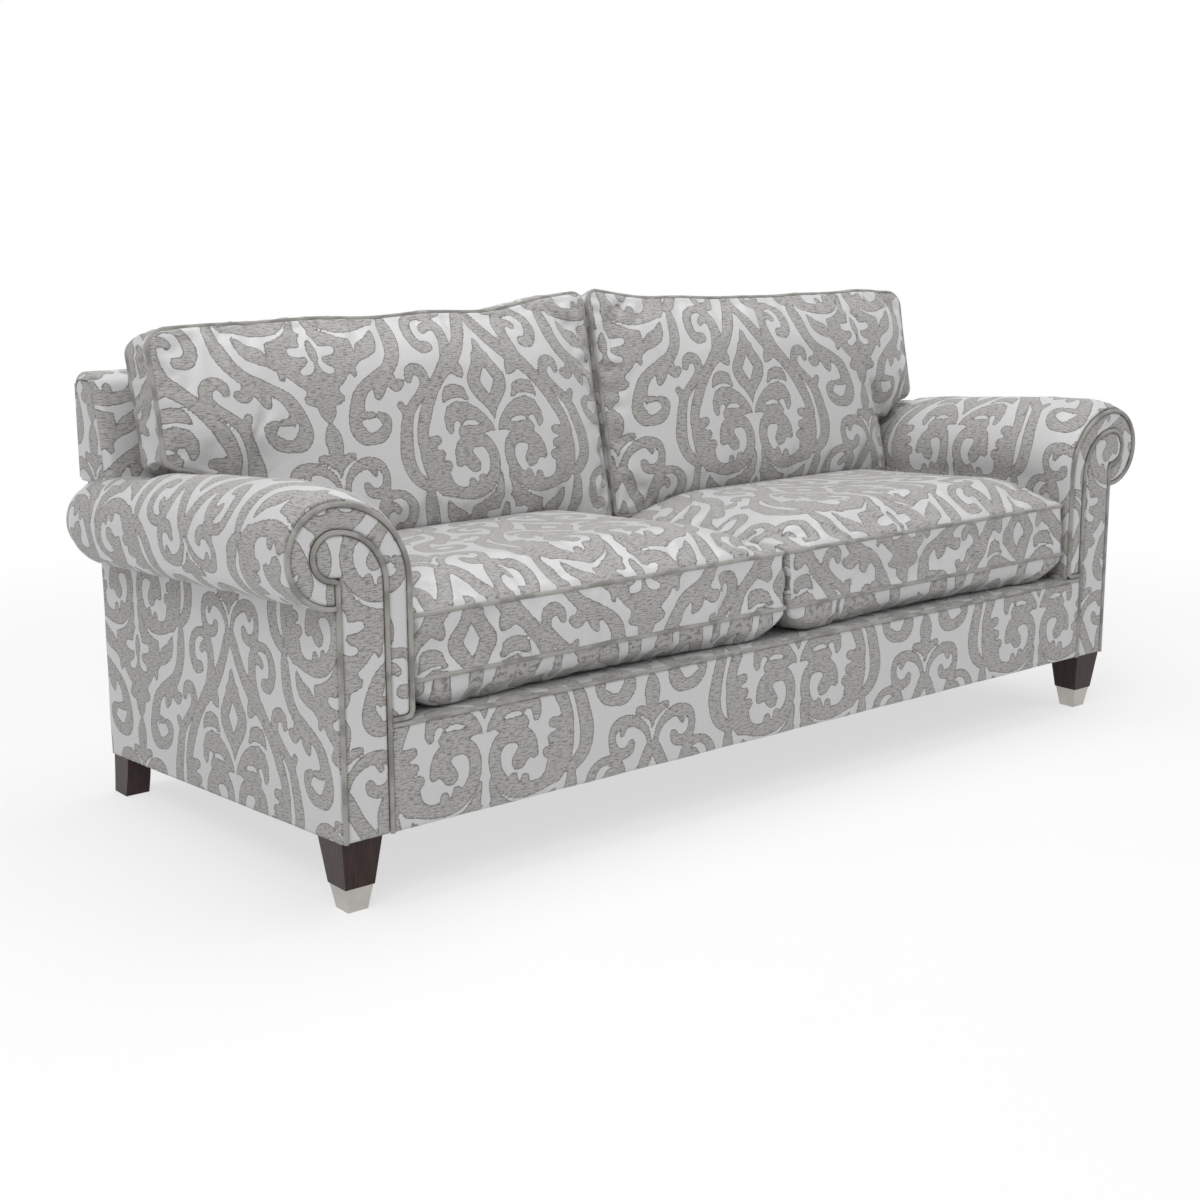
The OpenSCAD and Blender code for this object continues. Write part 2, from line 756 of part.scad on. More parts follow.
// Boxed cushion from a grid of plan points with a crown height above and a belly depth below each
function rim(nu, nv) = concat(
    [for (i = [0:nu]) [i, 0]], [for (j = [1:nv]) [nu, j]],
    [for (i = [nu - 1:-1:0]) [i, nv]], [for (j = [nv - 1:-1:1]) [0, j]]);
function outward(p, k) =
    let (n = len(p), a = p[(k + n - 1) % n], b = p[(k + 1) % n], t = b - a) [t[1], -t[0]] / norm(t);
module boxed_cushion(plan, up, down, box) {
    nv = len(plan) - 1;
    nu = len(plan[0]) - 1;
    ids = rim(nu, nv);
    edge = [for (q = ids) plan[q[1]][q[0]]];
    n = len(ids);
    grid = (nu + 1) * (nv + 1);
    // Rings of the boxing: [outward offset, height] from the top piping to the bottom piping
    rings = [
        [welt, box - welt_t / 2], [0, box - welt_t], [-drawn_in / 2, box / 2], [0, welt_t], [welt, welt_t / 2]];
    points = concat(
        [for (j = [0:nv], i = [0:nu]) [plan[j][i][0], plan[j][i][1], box + up[j][i]]],
        [for (j = [0:nv], i = [0:nu]) [plan[j][i][0], plan[j][i][1], -down[j][i]]],
        [for (r = rings, k = [0:n - 1]) let (o = edge[k] + r[0] * outward(edge, k)) [o[0], o[1], r[1]]]);
    top_loop = [for (q = ids) q[1] * (nu + 1) + q[0]];
    bottom_loop = [for (i = top_loop) i + grid];
    loops = concat([top_loop], [for (r = [0:len(rings) - 1]) [for (k = [0:n - 1]) 2 * grid + r * n + k]],
        [bottom_loop]);
    cells = [for (j = [0:nv - 1], i = [0:nu - 1]) j * (nu + 1) + i];
    faces = concat(
        [for (c = cells) [c, c + nu + 1, c + nu + 2]],
        [for (c = cells) [c, c + nu + 2, c + 1]],
        [for (c = cells) [c + grid, c + grid + nu + 2, c + grid + nu + 1]],
        [for (c = cells) [c + grid, c + grid + 1, c + grid + nu + 2]],
        [for (l = [0:len(loops) - 2], k = [0:n - 1]) [loops[l][k], loops[l][(k + 1) % n], loops[l + 1][(k + 1) % n]]],
        [for (l = [0:len(loops) - 2], k = [0:n - 1]) [loops[l][k], loops[l + 1][(k + 1) % n], loops[l + 1][k]]]);
    polyhedron(points, faces, convexity = 6);
}
// Rounded shoulder: from 0 at a cushion's edge to 1 where its crown is full
function swell(d, reach) = sin(90 * min(1, max(0, d) / reach)) ^ 0.8;
function spaced(n) = [for (i = [0:n]) 0.5 - 0.5 * cos(180 * i / n)];
function mix(a, b, s) = a + (b - a) * s;

// Seat cushion
nu = 12;
nv = 10;
module seat_form() {
    us = spaced(nu);
    vs = spaced(nv);
    plan = [for (t = vs) [for (s = us) [
        mix(seat_x0, seat_x1, s) + drawn_in * (1 - 2 * s) * 4 * t * (1 - t),
        mix(0, seat_d, t) + drawn_in * (1 - 2 * t) * 4 * s * (1 - s)]]];
    full = [for (row = plan) [for (p = row)
        swell(p[0] - row[0][0], shoulder) * swell(row[nu][0] - p[0], shoulder)
        * swell(p[1] - plan[0][nu / 2][1], shoulder) * swell(plan[nv][nu / 2][1] - p[1], shoulder)]];
    inside = [for (j = [0:nv]) [for (i = [0:nu]) i > 0 && i < nu && j > 0 && j < nv ? full[j][i] : 0]];
    up = [for (j = [0:nv]) [for (i = [0:nu])
        inside[j][i] == 0 ? 0 : max(1, min(seat_crown * inside[j][i], press_limit(plan[j][i][1])))]];
    down = [for (j = [0:nv]) [for (i = [0:nu]) seat_belly * inside[j][i]]];
    boxed_cushion(plan, up, down, seat_box);
}
module seat_frame() {
    translate([0, seat_set, seat_z])
        rotate([-seat_pitch, 0, 0])
            children();
}
module seat_core(grow) {
    x0 = seat_x0 + wrap - grow;
    x1 = seat_x1 - wrap + grow;
    translate([x0, wrap - grow, welt_t - grow])
        cube([x1 - x0, seat_d - 2 * wrap + 2 * grow, seat_box - 2 * welt_t + 2 * grow]);
}
module seat_cushion() {
    seat_frame() difference() {
        seat_form();
        seat_core(fit);
    }
}
module seat_cushion_right() { cloth() seat_cushion(); }
module seat_cushion_left() { cloth() left() seat_cushion(); }
module seat_core_right() { padding() seat_frame() seat_core(0); }
module seat_core_left() { padding() left() seat_frame() seat_core(0); }

// Back cushion, notched over the arm: the rows below the notch stop at the inside arm
module back_form() {
    us = spaced(nu);
    step_v = notch_v + ear_rise;
    rows = concat(
        [for (t = [0, 0.08, 0.28, 0.6, 1]) [t * notch_v, seat_x1]],
        [for (t = [0, 0.12, 0.35, 0.62, 0.85, 0.96, 1]) [mix(step_v, back_h, t), ear_x]]);
    n = len(rows) - 1;
    // Columns keep their place inside the body, and only those next to the notch reach out to the ear
    fixed_s = us[nu - 4];
    fixed_x = seat_x1 - shoulder / 2;
    across = function (s, x1) s < fixed_s ? mix(seat_x0, fixed_x, s / fixed_s)
        : mix(fixed_x, x1, (s - fixed_s) / (1 - fixed_s));
    corner = function (v) v > back_h - back_corner_r
        ? back_corner_r - sqrt(max(0, back_corner_r ^ 2 - (v - back_h + back_corner_r) ^ 2)) : 0;
    flat = [for (r = rows) [for (s = us) [
        across(s, r[1] - corner(r[0])) + drawn_in * (1 - 2 * s) * 4 * r[0] / back_h * (1 - r[0] / back_h),
        r[0]]]];
    // The top edge sags over its first 400 mm, and the rows below it sag less and less
    sag = function (x, v) back_sag * sin(90 * min(1, max(0, x - seat_x0) / 400))
        * max(0, v - step_v) / (back_h - step_v);
    plan = [for (row = flat) [for (p = row) [p[0], p[1] - sag(p[0], p[1])]]];
    rise = function (x, v) x > seat_x1 ? v - mix(notch_v, step_v, (x - seat_x1) / (ear_x - seat_x1))
        : v > notch_v ? min(v, norm([seat_x1 - x, v - notch_v])) : v;
    full = [for (j = [0:n]) [for (i = [0:nu]) let (p = flat[j][i])
        i == 0 || i == nu || j == 0 || j == n ? 0
        : swell(p[0] - flat[j][0][0], shoulder) * swell(flat[j][nu][0] - p[0], shoulder)
        * swell(rise(p[0], p[1]), shoulder) * swell(back_h - p[1], shoulder)]];
    up = [for (row = full) [for (f = row) back_crown * f]];
    down = [for (row = full) [for (f = row) back_rear_crown * f ^ 0.6]];
    boxed_cushion(plan, up, down, back_box);
}
module back_frame() {
    translate([0, back_foot_y, back_foot_z])
        rotate([90 - back_rake, 0, 0])
            children();
}
module back_core(grow) {
    x0 = seat_x0 + wrap - grow;
    x1 = seat_x1 - wrap + grow;
    translate([x0, wrap - grow, welt_t - grow])
        cube([x1 - x0, back_h - back_sag - 2 * wrap + 2 * grow, back_box - 2 * welt_t + 2 * grow]);
}
module back_cushion() {
    back_frame() difference() {
        back_form();
        back_core(fit);
    }
}
module back_cushion_right() { cloth() back_cushion(); }
module back_cushion_left() { cloth() left() back_cushion(); }
module back_core_right() { padding() back_frame() back_core(0); }
module back_core_left() { padding() left() back_frame() back_core(0); }

// Legs
module square_taper(side0, side1, z0, z1) {
    translate([0, 0, z0])
        rotate([0, 0, 45])
            cylinder(r1 = side0 / sqrt(2), r2 = side1 / sqrt(2), h = z1 - z0, $fn = 4);
}
module under_body() {
    intersection() {
        children();
        slab(0, hw + over, [
            [0, -1], [body_d, -1], [body_d, sloped(base_z, body_d) - fit], [0, base_z - fit]]);
    }
}
module front_legs() {
    lip = 2 * (ferrule_wall + fit);
    color([0.14, 0.07, 0.06]) part() both() under_body() difference() {
        translate([leg_spot[0], leg_spot[1], 0]) {
            square_taper(ferrule_foot - lip, ferrule_top - lip, ferrule_wall + fit, ferrule_h + fit);
            square_taper(leg_mid, leg_top, ferrule_h + fit, base_z);
        }
        bolt_holes();
    }
}
module ferrules() {
    wall = 2 * ferrule_wall;
    color("silver") part() both() translate([leg_spot[0], leg_spot[1], 0]) difference() {
        square_taper(ferrule_foot, ferrule_top, 0, ferrule_h);
        square_taper(ferrule_foot - wall, ferrule_top - wall, ferrule_wall, ferrule_h + lap);
    }
}
// A rear leg's top and its foot stand this far inside the outside back, and it this far inside the side
rear_top_in = 9;
rear_foot_in = 1;
rear_side_in = 1;
module rear_legs() {
    y1 = body_d - rear_top_in;
    y0 = y1 - rear_d;
    sweep = rear_top_in - rear_foot_in;
    front_sweep = body_d - rear_foot_in - rear_foot_d - y0;
    x1 = hw - rear_side_in;
    n = edge_steps;
    front = [for (i = [0:n]) [y0 + front_sweep * (1 - i / n) ^ 2, base_z * i / n]];
    rear = [for (i = [n:-1:0]) [y1 + sweep * (1 - i / n) ^ 2, base_z * i / n]];
    color([0.14, 0.07, 0.06]) part() both() under_body() difference() {
        slab(x1 - rear_w, x1, concat(front, rear));
        bolt_holes();
    }
}
module leg_bolts() {
    color("gray") part() both()
        for (p = bolt_spots)
            translate([p[0], p[1], sloped(base_z, p[1]) - bolt_l / 2])
                cylinder(r = bolt_d / 2, h = bolt_l, $fn = 48);
}

front_rail();
rear_rail();
spring_rail();
side_rail_left();
side_rail_right();
centre_stretcher();
corner_blocks();
arm_post_left();
arm_post_right();
rear_arm_posts();
scroll_rails();
facing_board_left();
facing_board_right();
back_post_left();
back_post_middle();
back_post_right();
back_top_rail();
back_wings();
arm_linings();
seat_springs();
spring_clips();
seat_hessian();
back_webbing();
arm_pad_left();
arm_pad_right();
outside_arm_wadding();
deck_pad();
front_rail_pad();
back_pad();
outside_back_wadding();
arm_cover_left();
arm_cover_right();
outside_arm_left();
outside_arm_right();
facing_panel_left();
facing_panel_right();
facing_border_left();
facing_border_right();
roll_caps();
front_rail_cover();
deck_cover();
inside_back_cover();
outside_back_cover();
dust_cloth();
outer_cords();
inner_cords();
rail_cord();
seat_cushion_left();
seat_cushion_right();
seat_core_left();
seat_core_right();
back_cushion_left();
back_cushion_right();
back_core_left();
back_core_right();
front_legs();
ferrules();
rear_legs();
leg_bolts();
facing_screws();
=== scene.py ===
# A roll-arm sofa in woven damask: its covers, piping, cushions and legs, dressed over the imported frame.
# Lengths are in millimetres until a mesh is made. Depths count back from the sofa's front, until MID_Y is
# taken off them for the frame's own axes.
import math

import bpy
import numpy as np
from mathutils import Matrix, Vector, geometry


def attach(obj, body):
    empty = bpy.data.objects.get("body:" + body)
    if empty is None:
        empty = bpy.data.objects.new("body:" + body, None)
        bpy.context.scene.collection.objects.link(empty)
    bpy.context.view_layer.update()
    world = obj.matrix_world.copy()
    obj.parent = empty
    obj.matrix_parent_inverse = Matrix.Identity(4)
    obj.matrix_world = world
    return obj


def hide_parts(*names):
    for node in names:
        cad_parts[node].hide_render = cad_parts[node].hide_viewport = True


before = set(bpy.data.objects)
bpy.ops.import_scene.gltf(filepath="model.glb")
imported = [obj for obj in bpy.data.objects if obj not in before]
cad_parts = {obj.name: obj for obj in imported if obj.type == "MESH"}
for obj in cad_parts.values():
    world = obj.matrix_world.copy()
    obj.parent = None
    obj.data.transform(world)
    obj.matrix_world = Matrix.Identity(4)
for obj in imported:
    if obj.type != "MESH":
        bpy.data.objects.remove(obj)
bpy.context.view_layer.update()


# Timber frame: hardwood rails, posts and blocks, glued and screwed, with ply facing boards and linings.
# It is hidden by the covers, and shows only from below and where a cushion is lifted away.
class Term:
    """A shader socket that adds, subtracts and multiplies like a number."""

    def __init__(self, nodes, socket):
        self.nodes = nodes
        self.socket = socket

    def __add__(self, other):
        return self.nodes.math("ADD", self, other)

    def __sub__(self, other):
        return self.nodes.math("SUBTRACT", self, other)

    def __rsub__(self, other):
        return self.nodes.math("SUBTRACT", other, self)

    def __mul__(self, other):
        return self.nodes.math("MULTIPLY", self, other)

    __radd__ = __add__
    __rmul__ = __mul__


class Nodes:
    """A node tree whose maths is written as expressions on its sockets."""

    def __init__(self, tree):
        self.tree = tree

    def feed(self, socket, value):
        if isinstance(value, Term):
            self.tree.links.new(value.socket, socket)
        else:
            socket.default_value = value

    def node(self, kind, settings, sockets, output=0):
        made = self.tree.nodes.new("ShaderNode" + kind)
        for name, value in settings.items():
            setattr(made, name, value)
        for name, value in sockets.items():
            self.feed(made.inputs[name], value)
        return Term(self, made.outputs[output])

    def math(self, operation, *values):
        return self.node("Math", {"operation": operation}, dict(enumerate(values)))

    def scaled(self, vector, scale):
        """A vector multiplied by one number, or by one number for each axis."""
        scale = scale if isinstance(scale, (tuple, list)) else (scale,) * 3
        return self.node("VectorMath", {"operation": "MULTIPLY"}, {0: vector, 1: scale})

    def part(self, vector, axis):
        return self.node("SeparateXYZ", {}, {0: vector}, axis)

    def noise(self, vector, scale, detail=2.0, rough=0.5):
        """Noise from 0 to 1, with features of 1/scale metres along each axis."""
        sockets = {"Vector": self.scaled(vector, scale), "Scale": 1.0, "Detail": detail, "Roughness": rough}
        return self.node("TexNoise", {}, sockets)

    def step(self, value, low, high):
        settings = {"interpolation_type": "SMOOTHSTEP"}
        return self.node("MapRange", settings, {"Value": value, "From Min": low, "From Max": high})

    def mix(self, share, a, b):
        return self.node("Mix", {"data_type": "RGBA"}, {0: share, 6: a, 7: b}, 2)

    def place(self):
        """Places on the object, in metres."""
        return self.node("TexCoord", {}, {}, "Object")

    def stored(self, name, output="Vector"):
        """What the mesh's points carry under a name."""
        return self.node("Attribute", {"attribute_name": name}, {}, output)


class Finish(Nodes):
    """A material of one principled shader, with constants set on its sockets."""

    def __init__(self, name, **constants):
        self.material = bpy.data.materials.new(name)
        self.material.use_nodes = True
        super().__init__(self.material.node_tree)
        self.shader = self.tree.nodes["Principled BSDF"]
        for socket, value in constants.items():
            self.shader.inputs[socket.replace("_", " ")].default_value = value

    def dress(self, colour, roughness, height=None, depth=0.001):
        """Links what varies: colour, roughness, and a relief in metres."""
        self.feed(self.shader.inputs["Base Color"], colour)
        self.feed(self.shader.inputs["Roughness"], roughness)
        if height is not None:
            relief = self.node("Bump", {}, {"Strength": 1.0, "Distance": depth, "Height": height})
            self.feed(self.shader.inputs["Normal"], relief)
        return self.material


TIMBER_PALE = (0.58, 0.40, 0.23, 1)
TIMBER_DARK = (0.36, 0.22, 0.11, 1)
TIMBER_PORE = 0.0004
ALONG_GRAIN = 3
ACROSS_GRAIN = 90


def timber(name, axis):
    """Pale hardwood with its grain along one axis."""
    finish = Finish(name)
    grain = [ALONG_GRAIN if k == axis else ACROSS_GRAIN for k in range(3)]
    along = finish.noise(finish.place(), grain, 4.0, 0.6)
    pores = finish.noise(finish.place(), [4 * g for g in grain])
    colour = finish.mix(finish.step(along, 0.3, 0.75), TIMBER_PALE, TIMBER_DARK)
    return finish.dress(colour, 0.55 + 0.2 * pores, pores, TIMBER_PORE)


def wear(material, *nodes):
    """Gives solids of the frame a material in place of their own."""
    for name in nodes:
        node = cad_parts[name]
        node.data.materials.clear()
        node.data.materials.append(material)


wear(timber("timber_across", 0), "front_rail", "rear_rail", "spring_rail", "back_top_rail")
wear(timber("timber_deep", 1), "side_rail_left", "side_rail_right", "centre_stretcher",
     "scroll_rails", "arm_linings")
wear(timber("timber_upright", 2), "corner_blocks", "arm_post_left", "arm_post_right",
     "rear_arm_posts", "facing_board_left", "facing_board_right", "back_post_left", "back_post_middle",
     "back_post_right", "back_wings")


# Springing: zig-zag springs of bare steel wire, clipped to the rails, under a sheet of woven jute.
# Straps of the same jute are stretched across the inside back. Bolts and screws are plain steel.
STEEL_DARK = (0.30, 0.31, 0.32, 1)
STEEL_BRIGHT = (0.50, 0.51, 0.52, 1)
JUTE_PALE = (0.50, 0.38, 0.23, 1)
JUTE_DARK = (0.33, 0.24, 0.13, 1)
JUTE_THREADS = 1800
JUTE_RELIEF = 0.0005

steel = Finish("bare_steel", Metallic=1.0)
scuffs = steel.noise(steel.place(), 400, 3.0)
wear(steel.dress(steel.mix(scuffs, STEEL_DARK, STEEL_BRIGHT), 0.3 + 0.25 * scuffs),
     "seat_springs", "spring_clips", "leg_bolts", "facing_screws")

jute = Finish("woven_jute", Sheen_Weight=0.2)
counted = jute.scaled(jute.place(), JUTE_THREADS)
threads = jute.math("SINE", jute.part(counted, 0)) * jute.math("SINE", jute.part(counted, 1))
fibres = jute.noise(jute.place(), 150, 3.0)
wear(jute.dress(jute.mix(fibres, JUTE_PALE, JUTE_DARK), 0.85 + 0.1 * fibres, threads, JUTE_RELIEF),
     "seat_hessian", "back_webbing")


# Damask: a cloth woven with a satin ground and a matt figure of scrolls, a lily and a bud, in a half-drop
# repeat. The right half of one figure is drawn as strokes of (x, y, half width), in millimetres of cloth from
# the diamond in its middle. The distance to the figure's edge is worked out once, on a grid of cells.
REPEAT_X = 771
REPEAT_Y = 716
FIGURE_X = 275
FIGURE_LOW = -495
FIGURE_TOP = 315
DIAMOND_X = 18
DIAMOND_Y = 31
DIAMOND_SLOPE = 13
DIAMOND_REACH = 60
OVAL_R = 10
OVAL_Y = -277
OVAL_TALL = 0.42
CELL = 2.0
FAR = 99.0
STROKES = [
    # Inner ribbon, from the crossing down to its feathered foot, with its spur and lobes
    [(0, 155, 14), (10, 144, 13), (20, 124, 13), (31, 103, 13), (45, 82, 14), (60, 64, 15), (76, 50, 18),
     (96, 33, 17), (118, 11, 14), (137, -13, 13), (153, -38, 13), (168, -64, 14), (180, -92, 13),
     (184, -115, 14), (177, -132, 20), (176, -150, 22), (170, -170, 25), (162, -188, 26), (153, -207, 22)],
    [(88, 42, 18), (70, 28, 15), (62, 16, 8)],
    [(168, -118, 12), (150, -114, 10)],
    [(165, -145, 12), (147, -143, 10)],
    [(155, -172, 14), (137, -167, 11)],
    # Ring below, curling in on itself, with two knobs
    [(153, -207, 20), (128, -222, 13), (104, -227, 13), (80, -227, 14), (56, -219, 15), (36, -203, 14),
     (24, -182, 13), (20, -160, 13), (24, -140, 13), (36, -125, 14), (56, -120, 15), (78, -124, 17),
     (91, -138, 20), (92, -150, 20)],
    [(90, -150, 18), (75, -168, 16), (73, -171, 16)],
    [(101, -145, 14), (107, -163, 10)],
    [(60, -199, 9), (62, -215, 11)],
    [(86, -205, 9), (87, -218, 10)],
    # Outer long leaf, from its hook down, and its knob
    [(188, 13, 8), (184, 27, 11), (171, 34, 12), (158, 28, 13), (152, 14, 12), (154, -3, 11),
     (171, -21, 10), (192, -41, 11), (206, -59, 12), (216, -84, 14), (223, -112, 15), (228, -142, 16),
     (224, -170, 15), (212, -190, 14), (195, -203, 11), (183, -209, 6)],
    [(210, -54, 9), (219, -38, 9)],
    # Scroll on the ribbon's shoulder
    [(82, 58, 17), (78, 86, 13), (78, 111, 13), (83, 128, 12), (94, 141, 10), (111, 146, 9), (131, 142, 9),
     (145, 129, 10), (151, 108, 12), (147, 88, 12), (136, 77, 13), (121, 78, 12)],
    [(88, 119, 10), (104, 121, 9), (113, 113, 8)],
    # Pair of small scrolls above the crossing
    [(3, 155, 10), (9, 169, 6), (14, 183, 7), (27, 199, 9), (46, 210, 11), (66, 213, 12), (88, 208, 11),
     (98, 193, 9), (98, 174, 9), (90, 158, 11), (74, 151, 11), (57, 156, 11), (52, 167, 9)],
    [(68, 204, 8), (75, 190, 6)],
    # Stem, leaf pair and bud between them
    [(0, 182, 1), (0, 192, 3), (0, 206, 7), (0, 222, 10)],
    [(6, 212, 7), (20, 225, 9), (34, 229, 8)],
    [(0, 230, 12), (0, 246, 17), (0, 264, 19), (0, 280, 13), (0, 291, 6), (0, 299, 2)],
    # Long scroll beside the lily, its inner curl and two knobs
    [(190, -205, 5), (191, -228, 12), (188, -252, 15), (184, -274, 15), (174, -299, 14), (155, -321, 14),
     (126, -336, 13), (99, -350, 12), (79, -368, 14), (68, -390, 16), (61, -415, 18), (59, -438, 18),
     (70, -454, 15), (90, -457, 12), (109, -451, 13), (122, -436, 13), (125, -420, 12), (113, -412, 8)],
    [(98, -410, 7), (80, -410, 8)],
    [(150, -338, 15), (164, -356, 12), (176, -351, 9)],
    [(128, -345, 17), (125, -360, 15), (118, -376, 7)],
]
SOLIDS = [
    # Lozenge in the middle, and the crescent beside it
    [(0, 94), (8, 82), (12, 66), (23, 56), (25, 44), (35, 30), (46, 13), (49, 0), (46, -18), (34, -36),
     (18, -52), (8, -66), (0, -84), (-20, -50), (-20, 60)],
    [(50, -38), (58, -26), (60, -12), (74, -4), (92, -2), (108, -7), (117, -22), (121, -42), (108, -35),
     (90, -31), (72, -32), (58, -39)],
    # Hook under the lozenge, over the ring
    [(3, -106), (8, -90), (20, -72), (38, -55), (62, -42), (90, -38), (112, -48), (124, -72), (124, -94),
     (116, -105), (107, -103), (105, -92), (101, -80), (92, -78), (86, -84), (92, -94), (98, -102),
     (92, -114), (60, -114), (36, -110), (20, -105)],
    # Lily
    [(-9, -190), (14, -190), (22, -212), (35, -229), (50, -241), (73, -250), (93, -254), (95, -284),
     (103, -268), (113, -261), (130, -254), (143, -243), (155, -235), (155, -255), (151, -271),
     (141, -285), (121, -295), (98, -302), (84, -313), (84, -328), (76, -335), (68, -322), (58, -334),
     (48, -344), (35, -353), (37, -361), (45, -367), (43, -378), (30, -384), (20, -386), (19, -399),
     (12, -411), (2, -421), (-9, -421)],
]
GROUNDS = [
    # Ground that shows through: the lily's slit and cross, and the slit in the hook
    [(0, -184, 9), (0, -200, 7), (0, -222, 5), (0, -240, 6), (10, -254, 6), (14, -276, 6), (10, -298, 6),
     (18, -312, 9), (30, -316, 7)],
    [(14, -276, 10), (30, -277, 10), (42, -275, 8)],
    [(40, -88, 2), (54, -85, 5), (70, -84, 5), (80, -87, 3)],
    [(0, 166, 3), (0, 176, 4), (0, 184, 6)],
    [(0, -205, 7), (5, -232, 6)],
    [(112, -430, 4), (96, -435, 6), (78, -430, 5), (70, -416, 3)],
]


def rounded(points, pieces, wrap=False):
    """A smooth line through points, in a number of pieces from each to the next. A grid's rows work too."""
    p = np.array(points, float)
    before, after = 2 * p[:1] - p[1:2], 2 * p[-1:] - p[-2:-1]
    p = np.concatenate([p[-1:], p, p[:2]] if wrap else [before, p, after])
    made = []
    for a, b, c, d in zip(p, p[1:], p[2:], p[3:]):
        for t in np.arange(pieces) / pieces:
            bend = (-a + 3 * b - 3 * c + d) * t + 2 * a - 5 * b + 4 * c - d
            made.append(b + 0.5 * t * (c - a + t * bend))
    if not wrap:
        made.append(p[-2])
    return np.array(made)


def nearest(x, y, a, b):
    """Distance from each point to a segment, and where along it the nearest place lies."""
    d = b[:2] - a[:2]
    t = np.clip(((x - a[0]) * d[0] + (y - a[1]) * d[1]) / max(d @ d, 1e-9), 0, 1)
    return np.hypot(x - a[0] - t * d[0], y - a[1] - t * d[1]), t


def to_stroke(x, y, points):
    """Distance from each point to the edge of a stroke, below 0 inside it."""
    line = rounded(points, 3)
    best = np.full(x.shape, FAR)
    for a, b in zip(line, line[1:]):
        gap, t = nearest(x, y, a, b)
        best = np.minimum(best, gap - a[2] - t * (b[2] - a[2]))
    return best


def to_solid(x, y, points):
    """Distance from each point to a closed outline, below 0 inside it."""
    p = np.array(points, float)
    best = np.full(x.shape, FAR)
    inside = np.zeros(x.shape, bool)
    for a, b in zip(p, np.roll(p, -1, 0)):
        best = np.minimum(best, nearest(x, y, a, b)[0])
        crosses = (a[1] > y) != (b[1] > y)
        inside ^= crosses & (x < a[0] + (y - a[1]) * (b[0] - a[0]) / (b[1] - a[1] + 1e-9))
    return np.where(inside, -best, best)


def draw_figure():
    """Distance into the figure on a grid of cells: x from 0 to half a repeat, y over one repeat."""
    gx, gy = np.meshgrid(np.arange(0, REPEAT_X / 2 + CELL, CELL), np.arange(0, REPEAT_Y, CELL))
    best = np.full(gx.shape, FAR)
    for column, drop in ((0, 0), (1, REPEAT_Y / 2)):
        x = gx if column == 0 else REPEAT_X / 2 - gx
        for lift in (-1, 0, 1):
            y = gy - drop + lift * REPEAT_Y
            near = (x < FIGURE_X) & (y > FIGURE_LOW) & (y < FIGURE_TOP)
            if not near.any():
                continue
            px, py = x[near], y[near]
            figure = np.full(px.shape, FAR)
            for points in STROKES:
                figure = np.minimum(figure, to_stroke(px, py, points))
            for points in SOLIDS:
                figure = np.minimum(figure, to_solid(px, py, points))
            for points in GROUNDS:
                figure = np.maximum(figure, -to_stroke(px, py, points))
            diamond = (px / DIAMOND_X + np.abs(py) / DIAMOND_Y - 1) * DIAMOND_SLOPE
            figure = np.where(np.abs(py) < DIAMOND_REACH, np.maximum(figure, -diamond), figure)
            oval = np.hypot(px, (py - OVAL_Y) * OVAL_TALL) - OVAL_R
            best[near] = np.minimum(best[near], np.minimum(figure, oval))
    return -best


FIGURE = draw_figure()


def figure_at(u, v):
    """Distance into the figure at cloth places u (across) and v (up), counted from a figure's middle."""
    u = np.abs((u + REPEAT_X / 2) % REPEAT_X - REPEAT_X / 2) / CELL
    v = (v % REPEAT_Y) / CELL
    rows, columns = FIGURE.shape
    i, j = u.astype(int), v.astype(int)
    a, b = u - i, v - j
    i1, j0, j1 = np.minimum(i + 1, columns - 1), j % rows, (j + 1) % rows
    low = FIGURE[j0, i] * (1 - a) + FIGURE[j0, i1] * a
    high = FIGURE[j1, i] * (1 - a) + FIGURE[j1, i1] * a
    return low * (1 - b) + high * b


# Deck and front rail: the platform under the seat cushions and the padded rail below its lip, covered in the
# damask. The rail's cover is stapled under the frame, drawn up over the padding and piped along its top.
BASE_Z = 134
RAIL_Z = 326
MID_Y = 453.5
HALF_W = 1040
ARM_T = 146
INNER = HALF_W - ARM_T
CORD_R = 4.5
BORDER_W = 50
JOINT_X = INNER + BORDER_W
FIT = 0.3
STEP = 5.5
HEM = 8
PITCH = math.radians(3.4)
TAN_P = math.tan(PITCH)
SATIN_PALE = (0.57, 0.57, 0.57, 1)
SATIN_DARK = (0.50, 0.50, 0.50, 1)
MATT_PALE = (0.40, 0.39, 0.375, 1)
MATT_DARK = (0.155, 0.15, 0.142, 1)
FIGURE_RIM = (0.115, 0.11, 0.105, 1)
WEAVE_RELIEF = 0.0009


